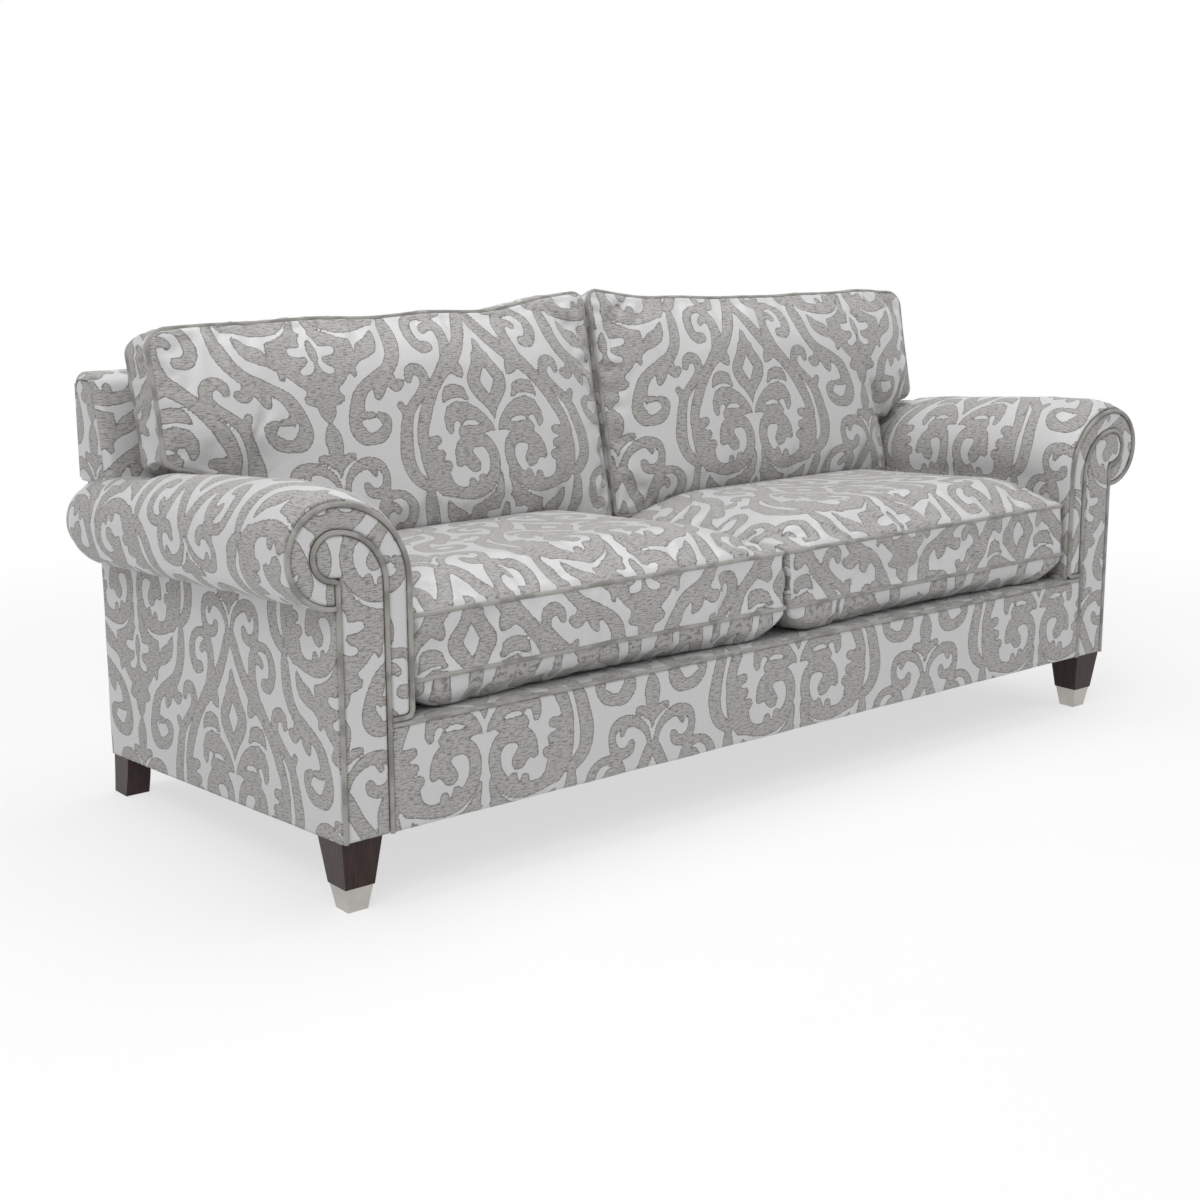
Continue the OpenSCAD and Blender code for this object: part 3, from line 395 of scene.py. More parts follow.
def woven():
    """Satin ground, and a matt figure with a dark outline and cross slubs, its edges stepped by the weave."""
    finish = Finish("damask", Sheen_Weight=0.3, Sheen_Roughness=0.5)
    cloth = finish.stored("cloth")
    jagged = finish.noise(cloth, (150, 300, 150), 3.0, 0.7)
    into = finish.stored("damask", "Fac") + 7.0 * (jagged - 0.5)
    share = finish.step(into, -0.5, 0.5)
    rim = finish.step(into, -0.6, 0.3) * (1 - finish.step(into, 1.0, 2.4))
    slubs = finish.noise(cloth, (75, 460, 75), 3.0, 0.65)
    across = finish.noise(cloth, (420, 60, 420), 2.0, 0.6)
    worn = finish.noise(cloth, 9)
    fine = finish.noise(cloth, (420, 560, 420), 3.0, 0.7)
    dark = finish.step(slubs, 0.46, 0.64) * 0.75 + finish.step(across, 0.55, 0.7) * 0.35
    matt = finish.mix(dark * (0.1 + 2.2 * fine), MATT_PALE, MATT_DARK)
    matt = finish.mix(rim * (0.5 + 0.5 * fine), matt, FIGURE_RIM)
    satin = finish.mix(0.5 * finish.step(slubs, 0.45, 0.8) + 0.4 * worn, SATIN_PALE, SATIN_DARK)
    rough = 0.34 + 0.10 * slubs + share * 0.36
    relief = share * 0.5 + share * slubs * 0.9 + 0.25 * fine + 0.3 * slubs
    return finish.dress(finish.mix(share, satin, matt), rough, relief, WEAVE_RELIEF)


DAMASK = woven()


def grid_faces(rows, columns):
    """The squares between the points of a grid, by the points' numbers."""
    k = np.arange(rows * columns).reshape(rows, columns)
    return np.stack([k[:-1, :-1], k[:-1, 1:], k[1:, 1:], k[1:, :-1]], -1).reshape(-1, 4)


def normals_of(grid):
    """The unit normals of a grid of points."""
    across = np.gradient(grid, axis=1)
    along = np.gradient(grid, axis=0)
    n = np.cross(across, along)
    return n / np.maximum(np.linalg.norm(n, axis=-1, keepdims=True), 1e-9)


def sheet(grid, cloth, hem, inside):
    """A surface from a grid of points and their cloth places, its edges turned in by hem towards inside."""
    n = normals_of(grid)
    if ((grid - np.array(inside, float)) * n).sum() < 0:
        grid, cloth, n = grid[:, ::-1], cloth[:, ::-1], -n[:, ::-1]
    inner = grid - n * hem
    grid = np.concatenate([inner[:1], grid, inner[-1:]])
    cloth = np.concatenate([cloth[:1], cloth, cloth[-1:]])
    inner = np.concatenate([inner[:1], inner, inner[-1:]])
    grid = np.concatenate([inner[:, :1], grid, inner[:, -1:]], 1)
    cloth = np.concatenate([cloth[:, :1], cloth, cloth[:, -1:]], 1)
    rows, columns = grid.shape[:2]
    return grid.reshape(-1, 3), grid_faces(rows, columns), cloth.reshape(-1, 2)


def make_piece(name, body, material, surfaces, nodes=()):
    """Joins surfaces of (points, faces, cloth places) into one piece on a body, in place of solids."""
    corners, sizes, base = [], [], 0
    for points, faces, cloth in surfaces:
        faces = np.asarray(faces)
        corners.append(faces.ravel() + base)
        sizes.append(np.full(len(faces), faces.shape[1]))
        base += len(points)
    points = np.vstack([s[0] for s in surfaces])
    cloth = np.vstack([s[2] for s in surfaces])
    corners, sizes = np.concatenate(corners), np.concatenate(sizes)
    mesh = bpy.data.meshes.new(name)
    mesh.vertices.add(len(points))
    mesh.vertices.foreach_set("co", (points / 1000).astype(np.float32).ravel())
    mesh.loops.add(len(corners))
    mesh.loops.foreach_set("vertex_index", corners.astype(np.int32))
    mesh.polygons.add(len(sizes))
    mesh.polygons.foreach_set("loop_start", (np.cumsum(sizes) - sizes).astype(np.int32))
    mesh.update(calc_edges=True)
    mesh.validate()
    mesh.shade_smooth()
    places = np.column_stack([cloth, np.zeros(len(cloth))]) / 1000
    mesh.attributes.new("cloth", "FLOAT_VECTOR", "POINT").data.foreach_set(
        "vector", places.astype(np.float32).ravel())
    mesh.attributes.new("damask", "FLOAT", "POINT").data.foreach_set(
        "value", figure_at(cloth[:, 0], cloth[:, 1]).astype(np.float32))
    mesh.materials.append(material)
    piece = bpy.data.objects.new(name, mesh)
    bpy.context.scene.collection.objects.link(piece)
    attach(piece, body)
    if nodes:
        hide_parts(*nodes)
    return piece


def upholster(name, surfaces, nodes):
    """A piece of the damask on the sofa's frame."""
    make_piece(name, "sofa_frame", DAMASK, surfaces, nodes)


def lengths(line):
    """How far along a line each of its points is."""
    return np.concatenate([[0], np.cumsum(np.linalg.norm(np.diff(line, axis=0), axis=1))])


def resampled(line, step=STEP):
    """A line of points set out again at equal steps, and the length along it."""
    line = np.asarray(line, float)
    at = lengths(line)
    s = np.linspace(0, at[-1], max(2, round(at[-1] / step) + 1))
    return np.column_stack([np.interp(s, at, line[:, i]) for i in range(line.shape[1])]), s


def spread(a, b, step=STEP):
    """Even places from a to b, about a step apart."""
    return np.linspace(a, b, max(2, round(abs(b - a) / step) + 1))


def ripple(u, v, size, seed):
    """Smooth unevenness, mostly between -1 and 1, with features of about one size."""
    random = np.random.default_rng(seed)
    total = 0
    for _ in range(7):
        angle, phase = random.uniform(0, 2 * math.pi, 2)
        k = 2 * math.pi / (size * random.uniform(0.8, 1.8))
        total = total + np.sin(k * (u * math.cos(angle) + v * math.sin(angle)) + phase)
    return total / 4


def sloped(z, depth):
    """A height at the front, followed back down the pitch of the seat."""
    return z - depth * TAN_P


def across_x(profile, x0, x1, u0, v0, uneven=0.0, seed=0):
    """A profile of (depth, z) points drawn along X. The cloth's u counts from u0, its v from v0."""
    line, s = resampled(profile)
    xs = spread(x0, x1)
    x, depth = np.meshgrid(xs, line[:, 0])
    z = np.repeat(line[:, 1:], len(xs), 1)
    v = np.repeat(s[:, None] + v0, len(xs), 1)
    grid = np.stack([x, depth - MID_Y, z], -1)
    grid += normals_of(grid) * (uneven * ripple(x, v, 140, seed))[..., None]
    return grid, np.stack([x - u0, v], -1)


RAIL_U = 18
RAIL_V = -249
LIP = 70
LIP_V = -62
rail_x = JOINT_X - CORD_R - FIT
deck_x = INNER - FIT
face = [(10, BASE_Z + 1.5), (3, BASE_Z), (0.6, BASE_Z + 5), (0, 200), (0, 300),
        (0.5, RAIL_Z - 12), (4, RAIL_Z - 6.5), (11, RAIL_Z - 3)]
lip = [(8, RAIL_Z - 3), (14, RAIL_Z - 1.2), (24, sloped(RAIL_Z, 24)), (LIP, sloped(RAIL_Z, LIP))]
upholster("front_rail_upholstery", [
    sheet(*across_x(face, -rail_x, rail_x, RAIL_U, RAIL_V - 5, 0.5, 3), HEM, (0, 0, 230)),
    sheet(*across_x(lip, -deck_x, deck_x, RAIL_U, LIP_V, 0.6, 4), HEM, (0, -400, 200)),
], ["front_rail_cover", "front_rail_pad"])


deck_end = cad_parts["deck_cover"].bound_box[6][1] * 1000 + MID_Y
deck = [(LIP + 0.6, sloped(RAIL_Z, LIP + 1)), (deck_end, sloped(RAIL_Z, deck_end))]
upholster("deck_upholstery", [
    sheet(*across_x(deck, -deck_x, deck_x, RAIL_U, 0, 0.8, 5), 2 * HEM, (0, 0, 100)),
], ["deck_cover", "deck_pad"])


# Arms: padded over the posts and the round rail, and covered in one piece, from under the roll over the top
# and down the inside face to the deck. The outside arm is a separate panel, drawn up under the roll.
DEPTH = 909
ROLL_Z = 622
ROLL_R = 90
BEHIND_CORD = 7.3
ARM_END = 897.1
ARM_CROWN = [(0, 1), (30, 14), (70, 21), (180, 25), (390, 21), (505, 18), (683, 10), (740, 5), (800, 0),
             (DEPTH, 0)]
SHOULDER_DROP = ARM_T - ROLL_R
EAR_DEPTH = 582
TAPER = 18


def eased(x, low, high):
    """From 0 at low to 1 at high, level at both ends."""
    t = np.clip((x - low) / (high - low), 0, 1)
    return t * t * (3 - 2 * t)


def arc(cx, cz, r, a0, a1, n):
    """Points around (cx, cz) from a0 to a1 degrees, in n steps."""
    a = np.radians(np.linspace(a0, a1, n + 1))
    return np.column_stack([cx + r * np.cos(a), cz + r * np.sin(a)])


def scroll(t, start=-90, roll_steps=48, shoulder_steps=40):
    """Front outline of an arm's roll and shoulder, t inside its cover, as (x, z)."""
    return np.vstack([
        arc(HALF_W, ROLL_Z, ROLL_R - t, start, 90, roll_steps),
        arc(HALF_W, ROLL_Z - SHOULDER_DROP, ARM_T - t, 92, 180, shoulder_steps)])


def arm_outline(t, low):
    """The scroll, and from it down the inside face."""
    return np.vstack([scroll(t), [[INNER + t, low]]])


def tapered(x):
    """How far the roll has narrowed at its rear end, by the distance x from the sofa's middle."""
    return TAPER * eased(x, HALF_W + 2, HALF_W + 40)


def arm_fullness(depth, x, z, n_in, n_up):
    """How far the padding stands out: crowned on top and at the shoulder, free of the back cushion."""
    over = np.interp(depth, *zip(*ARM_CROWN)) * np.clip(n_up, 0, 1) ** 0.8
    over = over * (1 - eased(depth, EAR_DEPTH, EAR_DEPTH + 20) * (1 - eased(x, HALF_W + 4, HALF_W + 40)))
    shoulder = 10 * eased(depth, 8, 60) * (1 - eased(depth, 380, 470))
    shoulder = shoulder * np.clip(n_in, 0, 1) * eased(z, 530, 620)
    return over + shoulder - tapered(x) * eased(depth, ARM_END - 64, ARM_END)


def along_arm(profile, side, depth0, depth1, u0, v0, uneven, seed, gather=0.0):
    """A profile of (x, z) points drawn back along an arm, side -1 or 1, and falling with the seat's pitch.

    With gather it is padded too, and gather is how deep it is pleated where it meets the facing."""
    line, s = resampled(profile)
    depths = spread(depth0, depth1)
    depth, x = np.meshgrid(depths, line[:, 0])
    z = line[:, 1:] - depth * TAN_P
    v = np.repeat(v0 - s[:, None], len(depths), 1) if gather else np.repeat(s[:, None] + v0, len(depths), 1)
    grid = np.stack([side * x, depth - MID_Y, z], -1)
    n = normals_of(grid)
    middle = np.array([side * HALF_W, 0, ROLL_Z - 30.0])
    if ((grid - middle) * n).sum() < 0:
        n = -n
    lift = uneven * (ripple(depth, v, 170, seed) - 1)
    if gather:
        up = np.clip(n[..., 2], 0, 1)
        pleat = np.sin(v / 6.5 + 2.2 * np.sin(v / 41)) * np.exp(-(depth - depth0) / 16)
        lift = lift + arm_fullness(depth, x, z, -side * n[..., 0], n[..., 2])
        lift = lift + up * (gather * pleat + 1.4 * ripple(depth, v, 120, seed + 3) * eased(depth, 10, 80))
    grid += n * lift[..., None]
    return grid, np.stack([depth - u0, v], -1)


ARM_LOW = 300
OUTSIDE_U = MID_Y - 80
OUTSIDE_V = BASE_Z - 295
SIDES = ((-1, "left"), (1, "right"))
for side, hand in SIDES:
    over = arm_outline(0, ARM_LOW)
    u0, v0 = (345, 322) if side < 0 else (357, 305)
    grids = along_arm(over, side, BEHIND_CORD, ARM_END, u0, v0, 0.4, 11 + side, 0.7)
    upholster(f"arm_upholstery_{hand}", [sheet(*grids, HEM, (side * HALF_W, 0, 560))],
              [f"arm_cover_{hand}", f"arm_pad_{hand}"])
    flat = [(HALF_W, BASE_Z), (HALF_W, ROLL_Z - ROLL_R)]
    grids = along_arm(flat, side, BEHIND_CORD, DEPTH - 2.3, OUTSIDE_U, OUTSIDE_V, 0.6, 21 + side)
    nodes = [f"outside_arm_{hand}"] + (["outside_arm_wadding"] if side == 1 else [])
    upholster(f"outside_arm_cloth_{hand}", [sheet(*grids, 6, (0, 0, 300))], nodes)


# Facings: a board padded and covered on the front of each arm, with a border that follows the scroll
# around a raised panel. Both are blind-tacked over the piping between them.
FACING_T = 12
PROUD = 2
TURN_R = 14
FACING_V = 420
BORDER_V = 300
HALF_REPEAT = 386


def flat_panel(outline, step, crown, edge):
    """Triangles that fill an outline, with each point's height: it rounds up within edge, then crowns."""
    rim, _ = resampled(np.vstack([outline, outline[:1]]), step)
    rim = rim[:-1]
    low, high = rim.min(0), rim.max(0)
    gx, gy = np.meshgrid(np.arange(low[0], high[0], step), np.arange(low[1], high[1], step * 0.87))
    gx = gx + (np.arange(len(gx)) % 2)[:, None] * step / 2
    gx, gy = gx.ravel(), gy.ravel()
    gap = -to_solid(gx, gy, rim)
    keep = gap > step * 0.55
    points = np.vstack([rim, np.column_stack([gx, gy])[keep]])
    made = geometry.delaunay_2d_cdt([Vector(p) for p in points], [], [list(range(len(rim)))], 1, 1e-4)
    points = np.array([tuple(p) for p in made[0]])
    gap = np.maximum(0, -to_solid(points[:, 0], points[:, 1], rim))
    gap[:len(rim)] = 0
    share = np.sqrt(np.clip(1 - (1 - np.minimum(gap, edge) / edge) ** 2, 0, 1))
    height = edge * share + crown * (1 - np.exp(-gap / 30))
    return points, np.array(made[2]), height, len(rim)


def walled(panel, faces, cloth, rim, turned):
    """A panel, and a wall from its edge to a rim set back from it. Turned, both look the other way."""
    count = len(rim)
    k = np.arange(count)
    after = np.roll(k, -1)
    wall = np.column_stack([k + count, after + count, after, k])
    if turned:
        faces, wall = faces[:, ::-1], wall[:, ::-1]
    return [(panel, faces, cloth), (np.vstack([panel[:count], rim]), wall, np.vstack([cloth[:count]] * 2))]


def front_panel(outline, side, face_depth, edge, crown, u0, v0):
    """A panel on the front of an arm: its face stands at face_depth, its rim rounds back to the board."""
    points, faces, height, count = flat_panel(outline, 4.5, crown, edge)
    depth = face_depth + edge + crown - height
    top = np.column_stack([side * points[:, 0], depth - MID_Y, points[:, 1]])
    back = top[:count].copy()
    back[:, 1] = FACING_T - MID_Y
    cloth = np.column_stack([points[:, 0] - u0, points[:, 1] - v0])
    return walled(top, faces, cloth, back, side < 0)


panel_t = BORDER_W + CORD_R + FIT
panel_x = HALF_W - 2 * (CORD_R + FIT)
inner_line = np.vstack([
    [[panel_x, BASE_Z], [panel_x, ROLL_Z - ROLL_R + panel_t]],
    arm_outline(panel_t, BASE_Z)])
foot_x = INNER + CORD_R + TURN_R
foot_z = RAIL_Z + CORD_R + FIT + TURN_R
border_line = np.vstack([
    arm_outline(2 * CORD_R + FIT, foot_z),
    arc(foot_x, foot_z, TURN_R - CORD_R - FIT, 180, 270, 8),
    arm_outline(BORDER_W - CORD_R - FIT, RAIL_Z + 2 * (CORD_R + FIT))[::-1]])
for side, hand in SIDES:
    u0 = 1330 if side > 0 else 655
    panel = front_panel(inner_line, side, -PROUD, 5, 2, u0, FACING_V)
    upholster(f"facing_panel_cloth_{hand}", panel, [f"facing_panel_{hand}"])
    border = front_panel(border_line, side, 0, 4, 1.5, u0 - HALF_REPEAT, BORDER_V)
    upholster(f"facing_border_cloth_{hand}", border, [f"facing_border_{hand}"])


# Back: webbed and padded, and covered in one piece up the rake, over the soft top edge and out over the
# wings. The outside back is a flat panel, drawn up to the top and blind-tacked down both sides.
BACK_Z = 860
BACK_TOP = 94
RAKE_DEGREES = 12
RAKE = math.radians(RAKE_DEGREES)
TAN_R, COS_R = math.tan(RAKE), math.cos(RAKE)
WING_X = HALF_W + 35
WING_R = 16
EDGE_R = 34
REAR_EDGE_R = 24
BACK_ROWS = 150
BACK_V = 700


def arm_top(x):
    """Height of an arm's upper side at the front, by its distance x from the middle."""
    over_roll = ROLL_Z + np.sqrt(np.maximum(0, ROLL_R ** 2 - (x - HALF_W) ** 2))
    shoulder = ROLL_Z - SHOULDER_DROP + np.sqrt(np.maximum(0, ARM_T ** 2 - (HALF_W - x) ** 2))
    return np.where(x > HALF_W, over_roll, shoulder)


def back_line(z):
    """Depth of the inside back's cover at a height, up the rake."""
    return DEPTH - BACK_TOP - (BACK_Z - z) * TAN_R


def back_outline(inset, low):
    """Side outline of the back, from low on the inside, over the top and down to the rear panel's edge."""
    front_r = EDGE_R - inset * 0.5
    rear_r = REAR_EDGE_R - inset * 0.4
    rear = DEPTH - 1 - inset * 0.4
    top = BACK_Z - inset
    z = top - front_r
    y = back_line(z) + inset / COS_R + front_r / COS_R
    line = [[back_line(low) + inset / COS_R, low]]
    line += arc(y, z, front_r, 180 - RAKE_DEGREES, 90, 12).tolist()
    line += arc(rear - rear_r, top - rear_r, rear_r, 90, 0, 8).tolist()
    line += [[rear, top - rear_r - 16]]
    return line


def back_sweep(xs, low_at):
    """The back's outline at each place across it, rounded over at the wings' ends."""
    grid, cloth = [], []
    for x in xs:
        into = max(0.0, abs(x) - (WING_X - WING_R))
        inset = WING_R - math.sqrt(max(0.0, WING_R ** 2 - into ** 2))
        line, s = resampled(back_outline(inset, low_at(x)))
        at = np.linspace(0, s[-1], BACK_ROWS)
        line = np.column_stack([np.interp(at, s, line[:, 0]), np.interp(at, s, line[:, 1])])
        grid.append(np.column_stack([np.full(BACK_ROWS, x), line[:, 0] - MID_Y, line[:, 1]]))
        cloth.append(np.column_stack([np.full(BACK_ROWS, x - RAIL_U), low_at(x) / COS_R + at - BACK_V]))
    return np.array(grid).swapaxes(0, 1), np.array(cloth).swapaxes(0, 1)


def deck_low(x):
    """Where the inside back's cover goes down behind the deck."""
    return 289.0


def wing_low(x):
    """Where the cover over a wing goes down behind the arm."""
    return float(sloped(arm_top(np.array(abs(x))), 790)) - 12


back_parts = [sheet(*back_sweep(spread(-deck_x, deck_x, 6), deck_low), HEM, (0, 330, 600))]
for side in (-1, 1):
    round_end = WING_X - WING_R + (WING_R - 0.1) * np.sin(np.radians(np.linspace(0, 90, 8)))
    xs = np.unique(np.concatenate([spread(deck_x, WING_X - 18, 6), round_end])) * side
    back_parts.append(sheet(*back_sweep(np.sort(xs), wing_low), HEM / 2, (side * 980, 420, 760)))
    rim = back_outline(WING_R, wing_low(WING_X))[:-1]
    outline = np.array(rim + [[DEPTH - 3, BACK_Z - 52], [DEPTH - 3, wing_low(WING_X)]])
    points, faces, height, _ = flat_panel(outline, STEP, 1.5, 3)
    end = np.column_stack([side * (WING_X - 3.5 + height), points[:, 0] - MID_Y, points[:, 1]])
    faces = faces if side > 0 else faces[:, ::-1]
    back_parts.append((end, faces, np.column_stack([points[:, 0] * side + 60, points[:, 1] - 470])))
upholster("back_upholstery", back_parts, ["inside_back_cover", "back_pad"])


def rear_panel(x0, x1, low, seed, hem):
    """A stretch of the outside back, from low to the top edge, slightly crowned."""
    top = BACK_Z - REAR_EDGE_R
    x, z = np.meshgrid(spread(x0, x1, 7), np.linspace(low, top, max(3, round((top - low) / 7))))
    rim = np.minimum(np.minimum(x - x0, x1 - x), np.minimum(z - low, top - z))
    crown = 1.2 * (1 - np.exp(-rim / 20))
    depth = DEPTH - 1.5 + crown + 0.3 * ripple(x, z, 160, seed) * crown
    grid = np.stack([x, depth - MID_Y, z], -1)
    return sheet(grid, np.stack([x - HALF_REPEAT, z - FACING_V], -1), hem, (0, 0, 400))


rear_x = HALF_W - 1.6
rear_parts = [rear_panel(-rear_x, rear_x, float(sloped(BASE_Z, DEPTH)), 31, HEM)]
for side in (-1, 1):
    x0, x1 = sorted((side * rear_x, side * (WING_X - 1)))
    rear_parts.append(rear_panel(x0, x1, float(sloped(ROLL_Z + ROLL_R, DEPTH)) - 6, 33, HEM - 1))
upholster("outside_back_cloth", rear_parts, ["outside_back_cover", "outside_back_wadding"])

CAP_TUCK = 12
CAP_DEEP = 18
cap_parts = []
for side in (-1, 1):
    turn = np.radians(np.linspace(-90, 90, 41))
    drawn = ROLL_R - tapered(HALF_W + ROLL_R * np.cos(turn))
    outline = np.column_stack([HALF_W + drawn * np.cos(turn), ROLL_Z - DEPTH * TAN_P + drawn * np.sin(turn)])
    tuck_x = HALF_W - CAP_TUCK
    outline = np.vstack([[tuck_x, outline[0, 1]], outline, [tuck_x, outline[-1, 1]]])
    points, faces, height, count = flat_panel(outline, STEP, 1, 8)
    depth = ARM_END - 6 + height
    cap = np.column_stack([side * points[:, 0], depth - MID_Y, points[:, 1]])
    cloth = np.column_stack([points[:, 0] - HALF_REPEAT, points[:, 1] - FACING_V])
    cap_parts += walled(cap, faces, cloth, cap[:count] - [0, CAP_DEEP, 0], side > 0)
upholster("roll_cap_cloth", cap_parts, ["roll_caps"])


# Piping: cord covered in the same cloth, cut on the cross, and sewn in around the scrolls, down the facings
# and along the rail. Its cover shows a fine slanting weave.
CORD_SATIN = (0.50, 0.49, 0.455, 1)
CORD_MATT = (0.30, 0.295, 0.27, 1)
CORD_THREADS = 3200
CORD_RELIEF = 0.0005
CORD_SIDES = 12

piping = Finish("piping", Sheen_Weight=0.2, Sheen_Roughness=0.5)
cord_place = piping.stored("cloth")
slant = piping.math("SINE", (piping.part(cord_place, 0) + piping.part(cord_place, 1)) * CORD_THREADS)
patches = piping.noise(cord_place, 18)
flecks = piping.noise(cord_place, 900)
cord_colour = piping.mix(piping.step(patches + 0.35 * (flecks - 0.5), 0.42, 0.6), CORD_SATIN, CORD_MATT)
PIPING = piping.dress(cord_colour, 0.6 + 0.2 * flecks, slant + flecks, CORD_RELIEF)


def tube(path, radius, closed=False):
    """A cord along a path of points, joined end to end or with its ends closed."""
    path = np.asarray(path, float)
    ahead = np.roll(path, -1, 0) - np.roll(path, 1, 0)
    if not closed:
        ahead = np.gradient(path, axis=0)
    ahead /= np.linalg.norm(ahead, axis=1, keepdims=True)
    side = np.cross(ahead[0], [0.3, 0.5, 0.81])
    frames = []
    for t in ahead:
        side = side - t * (side @ t)
        side = side / np.linalg.norm(side)
        frames.append((side, np.cross(t, side)))
    a = np.linspace(0, 2 * math.pi, CORD_SIDES + 1)
    ring = np.array([[p + radius * (math.cos(q) * s + math.sin(q) * o) for q in a]
                     for p, (s, o) in zip(path, frames)])
    cloth = np.array([[(along, q * radius) for q in a] for along in lengths(path)])
    if closed:
        ring = np.concatenate([ring, ring[:1]])
        cloth = np.concatenate([cloth, cloth[-1:] + [6, 0]])
    else:
        first, last = (np.repeat(path[k, None], len(a), 0)[None] for k in (0, -1))
        ring = np.concatenate([first, ring, last])
        cloth = np.concatenate([cloth[:1], cloth, cloth[-1:]])
    rows, columns = ring.shape[:2]
    return ring.reshape(-1, 3), grid_faces(rows, columns)[:, ::-1], cloth.reshape(-1, 2)


def front_cord(line, side=1):
    """A cord along a line of (x, z) points on the sofa's front."""
    line, _ = resampled(line, 5)
    path = np.column_stack([side * line[:, 0], np.full(len(line), CORD_R - PROUD - MID_Y), line[:, 1]])
    return tube(path, CORD_R)


outer_cord = np.vstack([
    scroll(CORD_R, shoulder_steps=36),
    arc(foot_x, foot_z, TURN_R, 180, 270, 8),
    [[rail_x, foot_z - TURN_R]]])
side_x = HALF_W - CORD_R - FIT
inner_cord = np.vstack([
    [[side_x, BASE_Z], [side_x, ROLL_Z - ROLL_R + 46]],
    scroll(BORDER_W, -84, 40, 30),
    [[JOINT_X, BASE_Z]]])
rail_cord = [[-rail_x, RAIL_Z - CORD_R], [rail_x, RAIL_Z - CORD_R]]
make_piece("outer_piping", "sofa_frame", PIPING,
           [front_cord(outer_cord, side) for side in (-1, 1)], ["outer_cords"])
make_piece("inner_piping", "sofa_frame", PIPING,
           [front_cord(inner_cord, side) for side in (-1, 1)], ["inner_cords"])
make_piece("rail_piping", "sofa_frame", PIPING, [front_cord(rail_cord)], ["rail_cord"])


# Underside: black non-woven cloth, stapled under the rails. It keeps dust from the springs and hides
# the rails' lower edges.
FELT_BLACK = (0.012, 0.012, 0.013, 1)
FELT_WORN = (0.035, 0.035, 0.036, 1)

dust = Finish("dust_cloth")
felt = dust.noise(dust.place(), 500, 3.0)
wear(dust.dress(dust.mix(felt, FELT_BLACK, FELT_WORN), 0.9 + 0.08 * felt, felt, 0.0004), "dust_cloth")


# Legs: tapered square front legs and swept rear legs in dark mahogany, under a satin lacquer.
# The front ones end in square ferrules of satin nickel, brushed around.
MAHOGANY_DARK = (0.014, 0.006, 0.005, 1)
MAHOGANY_RED = (0.040, 0.015, 0.011, 1)
NICKEL_DULL = (0.40, 0.385, 0.36, 1)
NICKEL_CLEAR = (0.56, 0.54, 0.51, 1)
SOFT_EDGES = {"front_legs": 0.0016, "rear_legs": 0.0025, "ferrules": 0.0009}

wood = Finish("dark_wood", Coat_Weight=0.1, Coat_Roughness=0.25, Specular_IOR_Level=0.25)
grain = wood.noise(wood.place(), (140, 140, 7), 4.0, 0.6)
streaks = wood.noise(wood.place(), (420, 420, 16))
wood_colour = wood.mix(wood.step(grain, 0.35, 0.7), MAHOGANY_DARK, MAHOGANY_RED)
wear(wood.dress(wood_colour, 0.28 + 0.16 * streaks, streaks, 0.00015), "front_legs", "rear_legs")

nickel = Finish("nickel", Metallic=1.0)
brushed = nickel.noise(nickel.place(), (60, 60, 2600), 3.0, 0.7)
clouds = nickel.noise(nickel.place(), 30)
nickel_colour = nickel.mix(clouds, NICKEL_DULL, NICKEL_CLEAR)
wear(nickel.dress(nickel_colour, 0.2 + 0.16 * brushed + 0.08 * clouds, brushed, 0.0001), "ferrules")
for name, width in SOFT_EDGES.items():
    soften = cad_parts[name].modifiers.new("soft_edges", "BEVEL")
    soften.width = width
    soften.segments = 3
    soften.limit_method = "ANGLE"
    soften.angle_limit = math.radians(40)
    soften.harden_normals = True


# Seat cushions: a foam core in a feather wrap, boxed and piped, crowned above and below its cords. The cover
# is cut a little large, so it puckers along the seams. It is blown up as simulated cloth, its seams held.
SIN_P, COS_P = math.sin(PITCH), math.cos(PITCH)
SIN_R = math.sin(RAKE)
WELT = 3
WELT_T = 9
SHOULDER = 190
GAP = 4
SEAT_SET = 10
SEAT_BOX = 113
BOXING = 120
SEAT_CROWN = 64
BELLY = 58
BAND_IN = 6
SEAM_IN = 2.5
PANEL_IN = 3
CLEAR = 1
LOOSE = 2.5
COLUMN = 18
COARSE_ROWS = 6
FINER = 3
PRESSED = 548
PRESS_RISE = 91
PRESS_RUN = 48
BLOWN = 14
BLOWN_STEPS = 20
COVER_CLOTH = {
    "quality": 6,
    "mass": 0.25,
    "tension_stiffness": 12,
    "compression_stiffness": 12,
    "shear_stiffness": 4,
    "bending_stiffness": 0.3,
    "use_pressure": True,
    "uniform_pressure_force": 4,
    "shrink_min": -0.035,
}


def swell(d, reach=SHOULDER):
    """How full a cushion is at a distance d from its seam: steep at the seam, full beyond reach."""
    return np.sin(np.pi / 2 * np.clip(d / reach, 0, 1)) ** 0.8


def dome(t):
    """From 0 at 0 up to 1 at 1 and beyond, along a quarter of a sine."""
    return np.sin(np.pi / 2 * np.clip(t, 0, 1))


